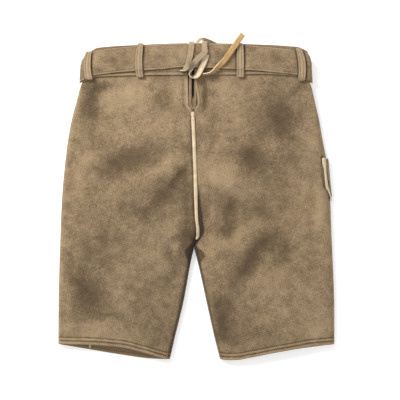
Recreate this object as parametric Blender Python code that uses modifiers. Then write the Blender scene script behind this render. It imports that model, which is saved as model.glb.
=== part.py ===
"""Short leather breeches, laid flat on their front with the back upwards.

The waist points along +Y, the wearer's right side along +X, and the cloth rests on z = 0.
Every wall of leather starts as its outer surface and gets its thickness inwards. Tables are
in millimetres, and MM turns them into metres.
"""

import math

import bmesh
import bpy
import numpy as np
from mathutils import Vector
from mathutils.bvhtree import BVHTree

MM = 0.001
GAP = 0.3

# Thickness of each leather, in millimetres.
PANEL_WALL = 2.0
BAND_WALL = 2.6
BELT_WALL = 3.0
SEAM_SLACK = 0.5
LOOP_WALL = 2.0
TRIM_WALL = 1.5
LACE_WALL = 1.8

# The waist, a flattened ring. Its sides are turned on this radius at the panels' outer face.
WAIST_HALF = 202.8
WAIST_TURN = 4.5
WAIST_MID = 13.1
WAIST_CROWN = 4.0
BAND_OFFSET = GAP + 0.1 + BAND_WALL
BAND_START = {"left": 15.0, "right": -2.0}  # out from the middle, where the slit leaves off
BAND_RISE = 0.6  # of the waistband over the panels' top edge
BELT_OFFSET = BAND_OFFSET + GAP + BELT_WALL
BELT_WIDTH = 43.0
LOOP_WIDTH = 13.0
LOOP_CLEAR = 0.5  # between a loop and what it lies on
LACE_WIDTH = 10.0

# Outlines seen from above: (y, x) down the outer sides and down the inner edges.
SIDE = {
    "left": [(-290, -247.5), (-249, -247.5), (-177, -247), (-87, -245), (3, -241), (93, -232),
             (147, -223), (183, -213), (198.5, -209), (205.5, -202.6), (290, -202.6)],
    "right": [(-290, 247.5), (-249, 247.5), (-177, 247), (-87, 245), (3, 242.5), (26, 240.2),
              (50, 238), (78, 234.5), (93, 231), (111, 227), (147, 221), (183, 212),
              (201.5, 208.5), (209, 202.6), (290, 202.6)],
}
# The centre seams, and how far each panel's edge stands off them at the slit and the legs.
BACK_SEAM = [(-290, -3.6), (-84, -3.6), (-68, 1.0), (-57, 3.2), (-28, 0.2), (50, -2.2),
             (152, -5.45), (290, -8)]
FRONT_SEAM = [(-290, -3.6), (-84, -3.6), (-60, 0), (290, 0)]
LEG_AWAY = {
    "left": [(-290, 47), (-249, 37.4), (-177, 19.4), (-105, 5.4), (-84, 0)],
    "right": [(-290, 48.1), (-249, 37.6), (-177, 21.6), (-105, 5.6), (-84, 0)],
}
SLIT_AWAY = {
    "left": [(152, 0), (164, 1.5), (174, 7.3), (228, 7.6), (290, 7)],
    "right": [(152, 0), (164, 2.5), (179, 9), (215, 5.5), (290, 5.9)],
}
FLAP_FOOT, FLAP_BEND, FLAP_HALF, FLAP_TOP = 58, 98, 74, 196
FLAP_AWAY = [(FLAP_FOOT, 0), (FLAP_BEND, FLAP_HALF), (290, FLAP_HALF)]

# Top and bottom edges: (x, y) across.
WAIST_BACK = [(-203, 262), (-178, 277), (-100, 282), (0, 285), (100, 283), (178, 279), (203, 266)]
WAIST_FRONT = [(-203, 262), (-178, 260), (0, 256), (178, 260), (203, 266)]
HEM_BACK = [(-247.5, -255), (-194, -255), (-135, -259.7), (-92, -270.5), (-65, -279),
            (-50, -282), (41, -282.5), (56, -284.5), (72, -284), (99, -278), (137, -268.4),
            (173, -261.5), (209, -256), (247.5, -254)]
HEM_FRONT = [(-247.5, -255), (-194, -264), (-135, -274.5), (-83, -282), (-50, -284),
             (42, -284.5), (72, -285), (99, -280.5), (137, -273), (191, -264), (247.5, -254)]
BAND_FOOT_BACK = [(-203, 209), (-178, 224), (-60, 228), (60, 228), (178, 224), (203, 212)]
BAND_FOOT_FRONT = [(-203, 209), (-150, 205), (0, 203), (150, 206), (203, 212)]
BELT_MID_BACK = [(-203, 242), (-178, 250.5), (-60, 261), (0, 263), (60, 261), (178, 251),
                 (203, 242)]
BELT_MID_FRONT = [(-203, 242), (-178, 237), (0, 231), (178, 237), (203, 242)]

# Heights of the back down its length, from 0 at the waist to 1 at the hem: the highest line,
# the shoulder over the side fold, how far the crown reaches in from the side, the width of
# the side fold, and the height of the side seam.
WAIST_END = 0.108
BACK_HEIGHTS = [  # down, crown, shoulder, reach, fold, seam
    (0, 21.6, 17.6, 202.8, 4.5, 13.1),
    (WAIST_END, 21.6, 17.6, 202.8, 4.5, 13.1),
    (0.16, 22.6, 16.4, 180, 7.5, 9.0),
    (0.22, 24.2, 15.6, 150, 9.5, 5.6),
    (0.30, 25.6, 15.2, 130, 10, 4.65),
    (0.50, 26.2, 15.0, 120, 10, 4.65),
    (0.65, 24.8, 14.6, 110, 10, 4.65),
    (0.85, 22.4, 13.6, 100, 9, 4.65),
    (1.0, 18.5, 12.6, 95, 8, 4.65),
]
FRONT_HEIGHTS = [  # down, floor of the panel, fold
    (0, 8.6, 5.6),
    (WAIST_END, 8.6, 5.6),
    (0.165, 2.2, 6.0),
    (0.20, 0.0, 7.0),
    (1.0, 0.0, 7.0),
]
CROTCH_Y, CROTCH_START = -84, -34

BACK_ROWS = [0, 0.05, WAIST_END, 0.123, 0.145, 0.17, 0.186, 0.197, 0.215, 0.235, 0.27, 0.31,
             0.36, 0.41, 0.46, 0.51, 0.56, 0.60, 0.63, 0.651, 0.69, 0.74, 0.80, 0.86, 0.92, 0.97, 1]
FRONT_ROWS_ABOVE = [0, 0.05, WAIST_END, 0.123, 0.145, 0.17, 0.20, 0.25]
FRONT_ROWS_BELOW = [0.43, 0.50, 0.56, 0.60, 0.6315, 0.69, 0.76, 0.84, 0.92, 1]
FLAP_ROWS = [FLAP_TOP, 190.5, 173.5, 160, 148, 124, FLAP_BEND, 80, 60]
FOLD_STEPS = [0, 0.012, 0.12, 0.4, 1]
BACK_MIDDLE = 9
FRONT_MIDDLE = 6

# Strips on the back: (y, x) of the middle, and the width.
WELT = [(162, -5.6), (120, -4.4), (50, -2.2), (-28, 0.2), (-50, 3.2), (-60, 3.6), (-67, 0.6)]
WELT_WIDTH = 7.0
STRIP_SAG = 1.2  # the most that a strip's edge hangs under its highest point
# The knife pocket's edge on the right side fold: down the seam, as (y, turn round the fold
# in degrees, width in degrees), and the lip of leather beyond it.
POCKET_PIPING = [(79, 68, 30), (60, 66, 28), (38, 62, 28), (26, 58, 28), (14, 34, 22), (3, 22, 10)]
POCKET_LIP = [(77, 28, 40), (50, 26, 36), (27, 20, 30)]
GUSSET = [(-30, 0), (-16, 0), (-8.5, -4.2), (0, 0), (20, 0)]  # x, and depth of its fold
GUSSET_ENDS = (276, 152)
GUSSET_FADE = 20  # the fold opens over this length from the foot
GUSSET_WALL = 1.4
MIDDLE_TOP, MIDDLE_FOOT = 285, -282  # the back's ends along the middle
LOOPS = {  # x at the top, x at the foot, y at the top, y at the foot
    "loop_back_outer_left": (-192.5, -196.5, 273, 219),
    "loop_back_inner_left": (-102, -102, 284.5, 223),
    "loop_back_inner_right": (79.5, 79.5, 285, 223.5),
    "loop_back_outer_right": (185.4, 194, 279, 218),
}
FRONT_LOOPS = {"loop_front_left": -95, "loop_front_right": 95}
FRONT_LOOP_STEPS = [(28, 1.4), (22.6, 0), (0, 0), (-22.6, 0), (-28, 1.4)]  # y from the belt, z
BUCKLE = dict(width=52, height=54, bar=5, thick=2.1)
BUTTONS = dict(radius=7.5, thick=2.2, y=182, places=(-60, 0, 60))
HEM_TAB = dict(x=-190.5, y_top=-252, y_foot=-265, width=6)

# The lace, as flat stretches: x, y, z and roll in degrees about its own run.
LACES = {
    "lace_over_belt": [(-7.6, 258, 20.6, 0), (-7.6, 276, 20.8, 0), (-7.6, 284, 21.4, 0),
                       (-7.6, 287.2, 25.2, 0), (-7.6, 285.9, 28.9, 0), (-7.6, 281.4, 30.3, 0),
                       (-9.2, 267, 30.2, 0), (-12.8, 251, 30.2, 0), (-15.2, 243.8, 30.9, 0),
                       (-19.4, 238, 31.2, -35), (-23.8, 235.8, 31.2, -72),
                       (-28.2, 235.2, 31.1, -85)],
    "lace_bow": [(15.5, 278, 17.2, 0), (15.5, 284.5, 17.3, 0), (15.5, 287.5, 20, 0),
                 (15.5, 287.8, 24.5, 0), (15.5, 286.2, 28.8, 0), (15.5, 282, 30.5, 0),
                 (15.5, 275, 32.2, 0), (16.2, 268.8, 34.4, 0), (12.6, 263.6, 35.6, 0),
                 (2.5, 254.5, 36.2, 0), (-5.6, 245, 37.4, -8), (-10.2, 236, 37, -50),
                 (-11.8, 229.5, 35, -95), (-8.2, 225, 34, -118), (-2, 224, 33.2, -130),
                 (3.5, 228, 32.4, -152), (9.5, 239.5, 31.2, -170), (15.5, 253, 30.6, -180),
                 (19, 264.5, 30.2, -180)],
    "lace_free_end": [(12.6, 228.4, 30.4, -78), (24, 230.2, 30.9, -78), (31.5, 234.6, 31.4, -66),
                      (38, 240.6, 32.4, -48), (45, 247, 32.6, -28), (52, 254.6, 32.8, -14),
                      (59, 264.6, 33.1, -8), (69.7, 279.6, 33.6, -4), (84, 300.6, 29.6, 0)],
    "lace_top_loop": [(0, 279, 10.5, 45), (2.2, 285.8, 10.6, 55), (4.8, 291.4, 11, 60),
                      (9.8, 294.6, 11.5, 58), (14.6, 293.5, 11.5, 45), (20, 291, 11.2, 35),
                      (28, 287.6, 11, 30), (36, 283.2, 10.6, 30), (44, 278.6, 10.4, 30),
                      (52, 274, 10.2, 30)],
}

COLOURS = {
    "suede": (0.30, 0.22, 0.14),
    "cream": (0.72, 0.60, 0.42),
    "lace": (0.40, 0.29, 0.18),
    "metal": (0.55, 0.52, 0.46),
    "horn": (0.16, 0.10, 0.06),
}


def along(table, at, column=1):
    """A table's column at each place, on a cubic that stays between its neighbouring points."""
    rows = np.array(table, float)
    place, value = rows[:, 0], rows[:, column]
    step = np.diff(place)
    slope = np.diff(value) / step
    same = slope[1:] * slope[:-1] > 0
    inner = np.where(same, 2 * slope[1:] * slope[:-1] / np.where(same, slope[1:] + slope[:-1], 1), 0)
    tangent = np.concatenate([slope[:1], inner, slope[-1:]])
    at = np.clip(at, place[0], place[-1])
    cell = np.clip(np.searchsorted(place, at) - 1, 0, len(step) - 1)
    t = (at - place[cell]) / step[cell]
    start = value[cell] * (1 + 2 * t) * (1 - t) ** 2 + tangent[cell] * step[cell] * t * (1 - t) ** 2
    end = value[cell + 1] * (3 - 2 * t) * t**2 - tangent[cell + 1] * step[cell] * t**2 * (1 - t)
    return start + end


def ease(t):
    t = np.clip(t, 0, 1)
    return t * t * (3 - 2 * t)


def material(name, rough=0.9, metal=0.0):
    found = bpy.data.materials.get(name)
    if found is None:
        found = bpy.data.materials.new(name)
        found.use_nodes = True
        shader = found.node_tree.nodes["Principled BSDF"]
        shader.inputs["Base Color"].default_value = (*COLOURS[name], 1)
        shader.inputs["Roughness"].default_value = rough
        shader.inputs["Metallic"].default_value = metal
        found.diffuse_color = (*COLOURS[name], 1)
    return found


def add(name, mesh, finish):
    """An object for a mesh, in the part's collection."""
    thing = bpy.data.objects.new(name, mesh)
    mesh.materials.append(material(*finish))
    bpy.data.collections["lederhosen"].objects.link(thing)
    return thing


def surface(name, grid, wall, finish, flip=False, ring=False, offset=-1.0):
    """A grid of points (rows, columns, 3) as an open surface with Solidify inwards."""
    rows, columns = grid.shape[:2]
    index = np.arange(rows * columns).reshape(rows, columns)
    if ring:
        index = np.hstack([index, index[:, :1]])
    quads = np.stack([index[:-1, :-1], index[1:, :-1], index[1:, 1:], index[:-1, 1:]], axis=-1)
    quads = quads.reshape(-1, 4)
    if flip:
        quads = quads[:, ::-1]
    mesh = bpy.data.meshes.new(name)
    mesh.from_pydata((grid.reshape(-1, 3) * MM).tolist(), [], quads.tolist())
    mesh.shade_smooth()
    thing = add(name, mesh, finish)
    solidify = thing.modifiers.new("wall", "SOLIDIFY")
    solidify.thickness = wall * MM
    solidify.offset = offset
    solidify.use_even_offset = True
    return thing


def inner_edge(side, seam, away, y):
    """The inner edge of a panel: the seam, half a gap, and the openings off it."""
    sign = -1 if side == "left" else 1
    legs = along(LEG_AWAY[side], y)
    return along(seam, y) + sign * (GAP / 2 + legs + along(away, y))


def panel(side, rows, middle, seam, away, waist, hem, fold_table, fold_column):
    """Plan of one panel: arrays x, y and down for its rows and columns, both edges' x too."""
    sign = 1 if side == "left" else -1
    down = np.array(rows, float)[:, None]
    fold = along(fold_table, down, fold_column)
    first = np.array(FOLD_STEPS)[None, :]
    between = np.linspace(0, 1, middle + 1)[None, 1:-1]
    y = np.zeros((len(rows), first.size * 2 + between.size)) + 260 - 520 * down
    for _ in range(12):
        outer = along(SIDE[side], y)
        inside = inner_edge(side, seam, away, y)
        low, high = outer + sign * fold, inside - sign * fold
        cut = first.size
        x = np.hstack([
            outer[:, :cut] + sign * fold * first,
            low[:, cut:-cut] * (1 - between) + high[:, cut:-cut] * between,
            inside[:, -cut:] - sign * fold * first[:, ::-1],
        ])
        y = along(waist, x) * (1 - down) + along(hem, x) * down
    return x, y, np.broadcast_to(down, x.shape), outer, inside


def back_height(x, y, down, outer, inside):
    """The crown of the back, less a drop to each edge.

    A drop is a parabola from the crown to the shoulder over the reach, and a quarter ellipse
    from the shoulder to the seam over the fold. The inner edge drops only below the crotch.
    """
    crown, shoulder, reach, fold, seam = (along(BACK_HEIGHTS, down, k) for k in range(1, 6))
    height = crown.copy()
    crotch = ease((CROTCH_START - y) / (CROTCH_START - CROTCH_Y))
    for edge, share in ((outer, 1), (inside, crotch)):
        away = np.abs(x - edge)
        wide = (1 - np.clip(away / reach, 0, 1)) ** 2
        tight = 1 - np.sqrt(1 - (1 - np.clip(away / fold, 0, 1)) ** 2)
        height -= share * ((crown - shoulder) * wide + (shoulder - seam) * tight)
    return height


def front_height(x, y, down, outer, inside):
    """The floor of the front, rising in a quarter ellipse to the seam at each edge."""
    floor, fold = (along(FRONT_HEIGHTS, down, k) for k in (1, 2))
    seam = along(BACK_HEIGHTS, down, 5) - GAP - SEAM_SLACK
    height = floor.copy()
    crotch = ease((CROTCH_START - y) / (CROTCH_START - CROTCH_Y))
    for edge, share in ((outer, 1), (inside, crotch)):
        away = np.abs(x - edge)
        tight = 1 - np.sqrt(1 - (1 - np.clip(away / fold, 0, 1)) ** 2)
        height += share * (seam - floor) * tight
    return height


def back_panel(side):
    plan = panel(side, BACK_ROWS, BACK_MIDDLE, BACK_SEAM, SLIT_AWAY[side], WAIST_BACK, HEM_BACK,
                 BACK_HEIGHTS, 4)
    grid = np.stack([plan[0], plan[1], back_height(*plan)], axis=-1)
    return surface(f"back_{side}", grid, PANEL_WALL, ("suede",), flip=side == "right")


def front_panel(side):
    bend, foot = (
        (float(along(WAIST_FRONT, x)) - y) / float(along(WAIST_FRONT, x) - along(HEM_FRONT, x))
        for x, y in ((FLAP_HALF * (-1 if side == "left" else 1), FLAP_BEND), (0, FLAP_FOOT))
    )
    rows = FRONT_ROWS_ABOVE + [bend, foot] + FRONT_ROWS_BELOW
    plan = panel(side, rows, FRONT_MIDDLE, FRONT_SEAM, FLAP_AWAY, WAIST_FRONT, HEM_FRONT,
                 FRONT_HEIGHTS, 2)
    grid = np.stack([plan[0], plan[1], front_height(*plan)], axis=-1)
    return surface(f"front_{side}", grid, PANEL_WALL, ("suede",), flip=side == "left")


def front_flap():
    """The flap between the front panels, narrowing to a blunt point at its foot."""
    y = np.array(FLAP_ROWS)[:, None]
    slope = math.hypot(FLAP_HALF, FLAP_BEND - FLAP_FOOT) / (FLAP_BEND - FLAP_FOOT)
    pointed = FLAP_HALF * (y - FLAP_FOOT) / (FLAP_BEND - FLAP_FOOT) - 1.5 * GAP * slope
    half = np.minimum(FLAP_HALF - GAP / 2, pointed)
    x = half * np.linspace(-1, 1, 9)[None, :]
    y = np.broadcast_to(y, x.shape)
    down = (along(WAIST_FRONT, x) - y) / (along(WAIST_FRONT, x) - along(HEM_FRONT, x))
    grid = np.stack([x, y, along(FRONT_HEIGHTS, down, 1)], axis=-1)
    return surface("front_flap", grid, PANEL_WALL, ("suede",), flip=True)


def ring_path(offset, back_from, front_to, sign, stations=13, turns=7):
    """Half of the waist ring at an offset out from the panels, from the middle of the back
    round one side to the middle of the front: x, z, and how far each point looks up."""
    centre = WAIST_HALF - WAIST_TURN
    radius = WAIST_TURN + offset
    across = np.linspace(0, 1, stations)
    angle = np.linspace(90, -90, turns * 2 + 1)[1:-1] * math.pi / 180
    back = back_from + (centre - back_from) * across
    front = front_to + (centre - front_to) * across[::-1]
    x = np.concatenate([back, centre + radius * np.cos(angle), front])
    up = np.concatenate([np.ones(stations), np.sin(angle), -np.ones(stations)])
    crown = WAIST_CROWN * (1 - np.clip(x / WAIST_HALF, -1, 1) ** 2)
    return sign * x, WAIST_MID + radius * up + crown * np.maximum(up, 0), up


def edge_of_ring(x, up, back, front):
    """A height along Y on the ring, from the back's table to the front's round the turn."""
    share = ease((1 - up) / 2)
    return along(back, x) * (1 - share) + along(front, x) * share


def waistband(side):
    """Half of the waistband, from the slit round one side to the middle of the front."""
    sign = -1 if side == "left" else 1
    x, z, up = ring_path(BAND_OFFSET, BAND_START[side], GAP / 2, sign)
    top = edge_of_ring(x, up, WAIST_BACK, WAIST_FRONT) + BAND_RISE
    foot = edge_of_ring(x, up, BAND_FOOT_BACK, BAND_FOOT_FRONT)
    grid = np.stack([np.stack([x, y, z], axis=-1) for y in (top, foot)])
    return surface(f"waistband_{side}", grid, BAND_WALL, ("suede",), flip=side == "left")


def belt():
    """One closed strap that steps down from the back to the front."""
    halves = ring_path(BELT_OFFSET, 0, 0, 1), ring_path(BELT_OFFSET, 0, 0, -1)
    x, z, up = (np.concatenate([right, left[-2:0:-1]]) for right, left in zip(*halves))
    middle = edge_of_ring(x, up, BELT_MID_BACK, BELT_MID_FRONT)
    grid = np.stack([
        np.stack([x, middle + half, z], axis=-1) for half in (BELT_WIDTH / 2, -BELT_WIDTH / 2)
    ])
    return surface("belt", grid, BELT_WALL, ("suede",), ring=True)


def ring_top(x, offset):
    """Height of the back of the waist ring's outer face at an offset."""
    return WAIST_MID + WAIST_TURN + offset + WAIST_CROWN * (1 - (x / WAIST_HALF) ** 2)


def back_loop(name, x_top, x_foot, y_top, y_foot):
    """A belt loop: a strip over the belt, with both ends set down on the waistband."""
    low = BAND_OFFSET + LOOP_CLEAR + LOOP_WALL
    high = BELT_OFFSET + LOOP_CLEAR + LOOP_WALL
    sides = np.array([x_top, x_foot]) + np.array([[-0.5], [0.5]]) * LOOP_WIDTH
    middles = along(BELT_MID_BACK, sides)
    belt_top, belt_foot = middles.max() + BELT_WIDTH / 2, middles.min() - BELT_WIDTH / 2
    middle = (belt_top + belt_foot) / 2
    steps = [  # y, and the share of the height over the belt
        (y_top, 0.55), (min(belt_top + 1.2, y_top - 0.8), 0.9), (belt_top - 1.5, 1), (middle, 1),
        (belt_foot + 1, 1), (belt_foot - 2.2, 0.6), (y_foot, 0),
    ]
    y, raised = np.array(steps).T
    run = x_top + (x_foot - x_top) * (y_top - y) / (y_top - y_foot)
    x = run[:, None] + np.array([[-0.5, 0, 0.5]]) * LOOP_WIDTH
    z = ring_top(x, (low + (high - low) * raised)[:, None])
    grid = np.stack([x, np.broadcast_to(y[:, None], x.shape), z], axis=-1)
    return surface(name, grid, LOOP_WALL, ("suede",))


def front_loop(name, x_middle):
    """A belt loop under the front, flat against the floor, its ends turned up to the band."""
    middle = float(along(BELT_MID_FRONT, x_middle))
    grid = [
        [(x_middle + half * LOOP_WIDTH, middle + step, height) for half in (-0.5, 0.5)]
        for step, height in FRONT_LOOP_STEPS
    ]
    return surface(name, np.array(grid), LOOP_WALL, ("suede",), flip=True)


def rounded_rectangle(curve, width, height, corner, middle):
    spline = curve.splines.new("POLY")
    steps = 4
    points = []
    for quarter in range(4):
        sx, sy = ((1, 1), (-1, 1), (-1, -1), (1, -1))[quarter]
        for k in range(steps + 1):
            angle = (quarter + k / steps) * math.pi / 2
            points.append((sx * (width / 2 - corner) + corner * math.cos(angle),
                           sy * (height / 2 - corner) + corner * math.sin(angle)))
    spline.points.add(len(points) - 1)
    for point, (x, y) in zip(spline.points, points):
        point.co = (x * MM, (y + middle) * MM, 0, 1)
    spline.use_cyclic_u = True


def buckle():
    """A plain frame buckle on the belt's face at the middle of the front."""
    curve = bpy.data.curves.new("belt_buckle", "CURVE")
    curve.dimensions = "2D"
    curve.fill_mode = "BOTH"
    curve.extrude = BUCKLE["thick"] / 2 * MM
    middle = float(along(BELT_MID_FRONT, 0))
    bar = 2 * BUCKLE["bar"]
    rounded_rectangle(curve, BUCKLE["width"], BUCKLE["height"], 8, middle)
    rounded_rectangle(curve, BUCKLE["width"] - bar, BUCKLE["height"] - bar, 4, middle)
    curve.materials.append(material("metal", 0.4, 1.0))
    thing = bpy.data.objects.new("belt_buckle", curve)
    thing.location.z = BUCKLE["thick"] / 2 * MM
    bpy.data.collections["lederhosen"].objects.link(thing)


def button(number, x, flap):
    """A flap button: a short cylinder with a rounded rim, square to the flap under it."""
    y = BUTTONS["y"]
    hit, normal, _, _ = flap.ray_cast(Vector((x * MM, y * MM, -0.05)), Vector((0, 0, 1)))
    normal = normal if normal.z < 0 else -normal
    mesh = bmesh.new()
    bmesh.ops.create_cone(mesh, cap_ends=True, segments=24, radius1=BUTTONS["radius"] * MM,
                          radius2=BUTTONS["radius"] * MM, depth=BUTTONS["thick"] * MM)
    data = bpy.data.meshes.new(f"flap_button_{number}")
    mesh.to_mesh(data)
    mesh.free()
    thing = add(f"flap_button_{number}", data, ("horn", 0.45))
    thing.location = hit + normal * (BUTTONS["thick"] / 2 + GAP + 0.1) * MM
    thing.rotation_mode = "QUATERNION"
    thing.rotation_quaternion = normal.to_track_quat("Z", "Y")
    bevel = thing.modifiers.new("rim", "BEVEL")
    bevel.width = 0.5 * MM
    bevel.segments = 2


def tree_of(*things):
    """A tree for casting rays on the evaluated meshes of some objects."""
    graph = bpy.context.evaluated_depsgraph_get()
    points, faces = [], []
    for thing in things:
        evaluated = thing.evaluated_get(graph)
        mesh = evaluated.to_mesh()
        first = len(points)
        points.extend(thing.matrix_world @ vertex.co for vertex in mesh.vertices)
        faces.extend([first + index for index in face.vertices] for face in mesh.polygons)
        evaluated.to_mesh_clear()
    return BVHTree.FromPolygons(points, faces)


def strip_on(tree, name, table, width, rows, finish):
    """A strip down the back whose points are the panels' own, moved out."""
    y = np.linspace(table[0][0], table[-1][0], rows)
    x = along(table[::-1], y)
    slope = np.gradient(x, y)
    across = np.stack([np.ones_like(slope), -slope], axis=-1)
    across /= np.linalg.norm(across, axis=-1, keepdims=True)
    lift = 2 * GAP + TRIM_WALL
    grid = []
    for k in range(rows):
        places = np.array([x[k], y[k]]) + across[k] * np.array([[-0.5], [0], [0.5]]) * width
        hits = [tree.ray_cast(Vector((px * MM, py * MM, 0.1)), Vector((0, 0, -1)))[0]
                for px, py in places]
        high = max(hit.z for hit in hits if hit) / MM
        heights = [max(hit.z / MM, high - STRIP_SAG) if hit else high for hit in hits]
        grid.append([(px, py, pz + lift) for (px, py), pz in zip(places, heights)])
    return surface(name, np.array(grid), TRIM_WALL, finish)


def fold_strip(name, table, lift, finish, rows=7, columns=4):
    """A strip on the right side fold: points of the fold's quarter ellipse, moved out."""
    y = np.linspace(table[0][0], table[-1][0], rows)
    middle, width = (along(table[::-1], y, k) for k in (1, 2))
    turn = middle[:, None] + np.linspace(0.5, -0.5, columns)[None, :] * width[:, None]
    turn = np.clip(turn, 2, 88) * math.pi / 180
    y = np.broadcast_to(y[:, None], turn.shape)
    outer = along(SIDE["right"], y)
    down = (along(WAIST_BACK, outer) - y) / (along(WAIST_BACK, outer) - along(HEM_BACK, outer))
    crown, shoulder, reach, fold, seam = (along(BACK_HEIGHTS, down, k) for k in range(1, 6))
    rise = shoulder - seam
    away = fold * (1 - np.cos(turn))
    z = seam + rise * np.sin(turn) + (crown - shoulder) * (1 - (1 - away / reach) ** 2)
    normal = np.stack([np.cos(turn) / fold, np.sin(turn) / rise], axis=-1)
    normal /= np.linalg.norm(normal, axis=-1, keepdims=True)
    grid = np.stack([outer - away + normal[..., 0] * lift, y, z + normal[..., 1] * lift], axis=-1)
    return surface(name, grid, TRIM_WALL, finish)


def gusset():
    """The folded gore behind the slit, under both back panels."""
    x = np.array([column[0] for column in GUSSET], float)[None, :]
    depth = np.array([column[1] for column in GUSSET], float)[None, :]
    y = np.linspace(*GUSSET_ENDS, 8)[:, None]
    down = (MIDDLE_TOP - y) / (MIDDLE_TOP - MIDDLE_FOOT)
    under = along(BACK_HEIGHTS, down, 1) - WAIST_CROWN * (x / WAIST_HALF) ** 2 - PANEL_WALL
    z = under - 2 * GAP + depth * ease((y - GUSSET_ENDS[1]) / GUSSET_FADE)
    grid = np.stack([np.broadcast_to(x, z.shape), np.broadcast_to(y, z.shape), z], axis=-1)
    return surface("slit_gusset", grid, GUSSET_WALL, ("suede",))


def hem_tab():
    """The end of a front seam's welt, showing past the left back hem on the front's inner face."""
    x = HEM_TAB["x"] + np.array([-0.5, 0.5])[None, :] * HEM_TAB["width"]
    y = np.linspace(HEM_TAB["y_top"], HEM_TAB["y_foot"], 3)[:, None]
    z = np.full((3, 2), PANEL_WALL + GAP + TRIM_WALL)
    grid = np.stack([np.broadcast_to(x, z.shape), np.broadcast_to(y, z.shape), z], axis=-1)
    return surface("hem_welt_end", grid, TRIM_WALL, ("cream",))


def lace(name, table):
    """A flat lace along a Catmull-Rom curve, its width turned by the roll about its run."""
    route = np.array(table, float)
    ends = np.vstack([2 * route[0] - route[1], route, 2 * route[-1] - route[-2]])
    points = []
    for k in range(1, len(ends) - 2):
        a, b, c, d = ends[k - 1:k + 3]
        for t in np.linspace(0, 1, 4, endpoint=False):
            points.append(0.5 * (2 * b + (c - a) * t + (2 * a - 5 * b + 4 * c - d) * t**2
                                 + (3 * b - 3 * c + d - a) * t**3))
    points = np.array(points + [route[-1]])
    centre, roll = points[:, :3], points[:, 3] * math.pi / 180
    run = np.gradient(centre, axis=0)
    run /= np.linalg.norm(run, axis=1, keepdims=True)
    level = np.cross(run, (0, 0, 1.0))
    level /= np.linalg.norm(level, axis=1, keepdims=True)
    for k in range(1, len(level)):
        if np.dot(level[k], level[k - 1]) < 0:
            level[k] *= -1
    face = np.cross(level, run)
    wide = level * np.cos(roll)[:, None] + face * np.sin(roll)[:, None]
    grid = centre[:, None, :] + wide[:, None, :] * np.array([-0.5, 0.5])[None, :, None] * LACE_WIDTH
    return surface(name, grid, LACE_WALL, ("lace",), offset=0.0)


def main():
    for thing in list(bpy.data.objects):
        bpy.data.objects.remove(thing)
    bpy.context.scene.collection.children.link(bpy.data.collections.new("lederhosen"))
    backs = [back_panel(side) for side in ("left", "right")]
    for side in ("left", "right"):
        front_panel(side)
        waistband(side)
    flap = front_flap()
    belt()
    buckle()
    for name, row in LOOPS.items():
        back_loop(name, *row)
    for name, x_middle in FRONT_LOOPS.items():
        front_loop(name, x_middle)
    bpy.context.view_layer.update()
    flap_tree = tree_of(flap)
    for number, x in enumerate(BUTTONS["places"], 1):
        button(number, x, flap_tree)
    strip_on(tree_of(*backs), "centre_back_welt", WELT, WELT_WIDTH, 26, ("cream",))
    fold_strip("pocket_lip", POCKET_LIP, 2.0, ("suede",))
    fold_strip("pocket_piping", POCKET_PIPING, 2.2, ("cream",))
    gusset()
    hem_tab()
    for name, table in LACES.items():
        lace(name, table)


main()
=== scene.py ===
"""Suede lederhosen laid flat on their front, the back upwards: the looks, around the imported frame.

Lengths in the tables are millimetres, and MM turns them into metres. +Y is the waist, +X the
wearer's right, +Z out of the back.
"""
import math

import bpy
import numpy as np
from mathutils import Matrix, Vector


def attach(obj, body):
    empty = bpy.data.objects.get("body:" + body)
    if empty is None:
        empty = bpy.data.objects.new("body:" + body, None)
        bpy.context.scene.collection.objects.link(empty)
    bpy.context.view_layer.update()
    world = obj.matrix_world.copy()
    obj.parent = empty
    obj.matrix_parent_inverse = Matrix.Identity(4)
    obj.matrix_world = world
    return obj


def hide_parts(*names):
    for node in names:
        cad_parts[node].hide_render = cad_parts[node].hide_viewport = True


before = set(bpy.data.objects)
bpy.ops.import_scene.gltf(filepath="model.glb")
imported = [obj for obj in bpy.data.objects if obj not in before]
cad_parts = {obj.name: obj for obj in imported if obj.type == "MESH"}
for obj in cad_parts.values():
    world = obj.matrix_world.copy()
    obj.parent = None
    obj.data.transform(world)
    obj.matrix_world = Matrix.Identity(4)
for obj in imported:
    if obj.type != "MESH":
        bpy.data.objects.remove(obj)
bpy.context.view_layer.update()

bl_info = {
    "name": "Suede Lederhosen",
    "version": (1, 0, 0),
    "blender": (4, 5, 0),
    "location": "3D View > Sidebar > Lederhosen",
    "description": "Builds suede lederhosen laid flat, with belt, laced slit, welts and stitching",
    "category": "Add Mesh",
}

MM = 0.001
GAP = 0.3
SIDES = {"left": -1, "right": 1}

# ---------------------------------------------------------------------------------------
# Outlines seen from above, heights and the waist's flattened ring. The walls and heights are
# those of the solids. SIDE, LEG_AWAY, HEM_BACK, HEM_FRONT and BAND_FOOT_BACK were altered for
# the look, and lie up to 7 mm from the outlines of the solids.
# ---------------------------------------------------------------------------------------
PANEL_WALL = 2.0
BAND_WALL = 2.6
BELT_WALL = 3.0
LOOP_WALL = 2.0
TRIM_WALL = 1.5
WAIST_HALF = 202.8
WAIST_TURN = 4.5
WAIST_MID = 13.1
WAIST_CROWN = 4.0
BAND_OFFSET = GAP + 0.1 + BAND_WALL
BELT_OFFSET = BAND_OFFSET + GAP + BELT_WALL
SEAM_SLACK = 0.5

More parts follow.
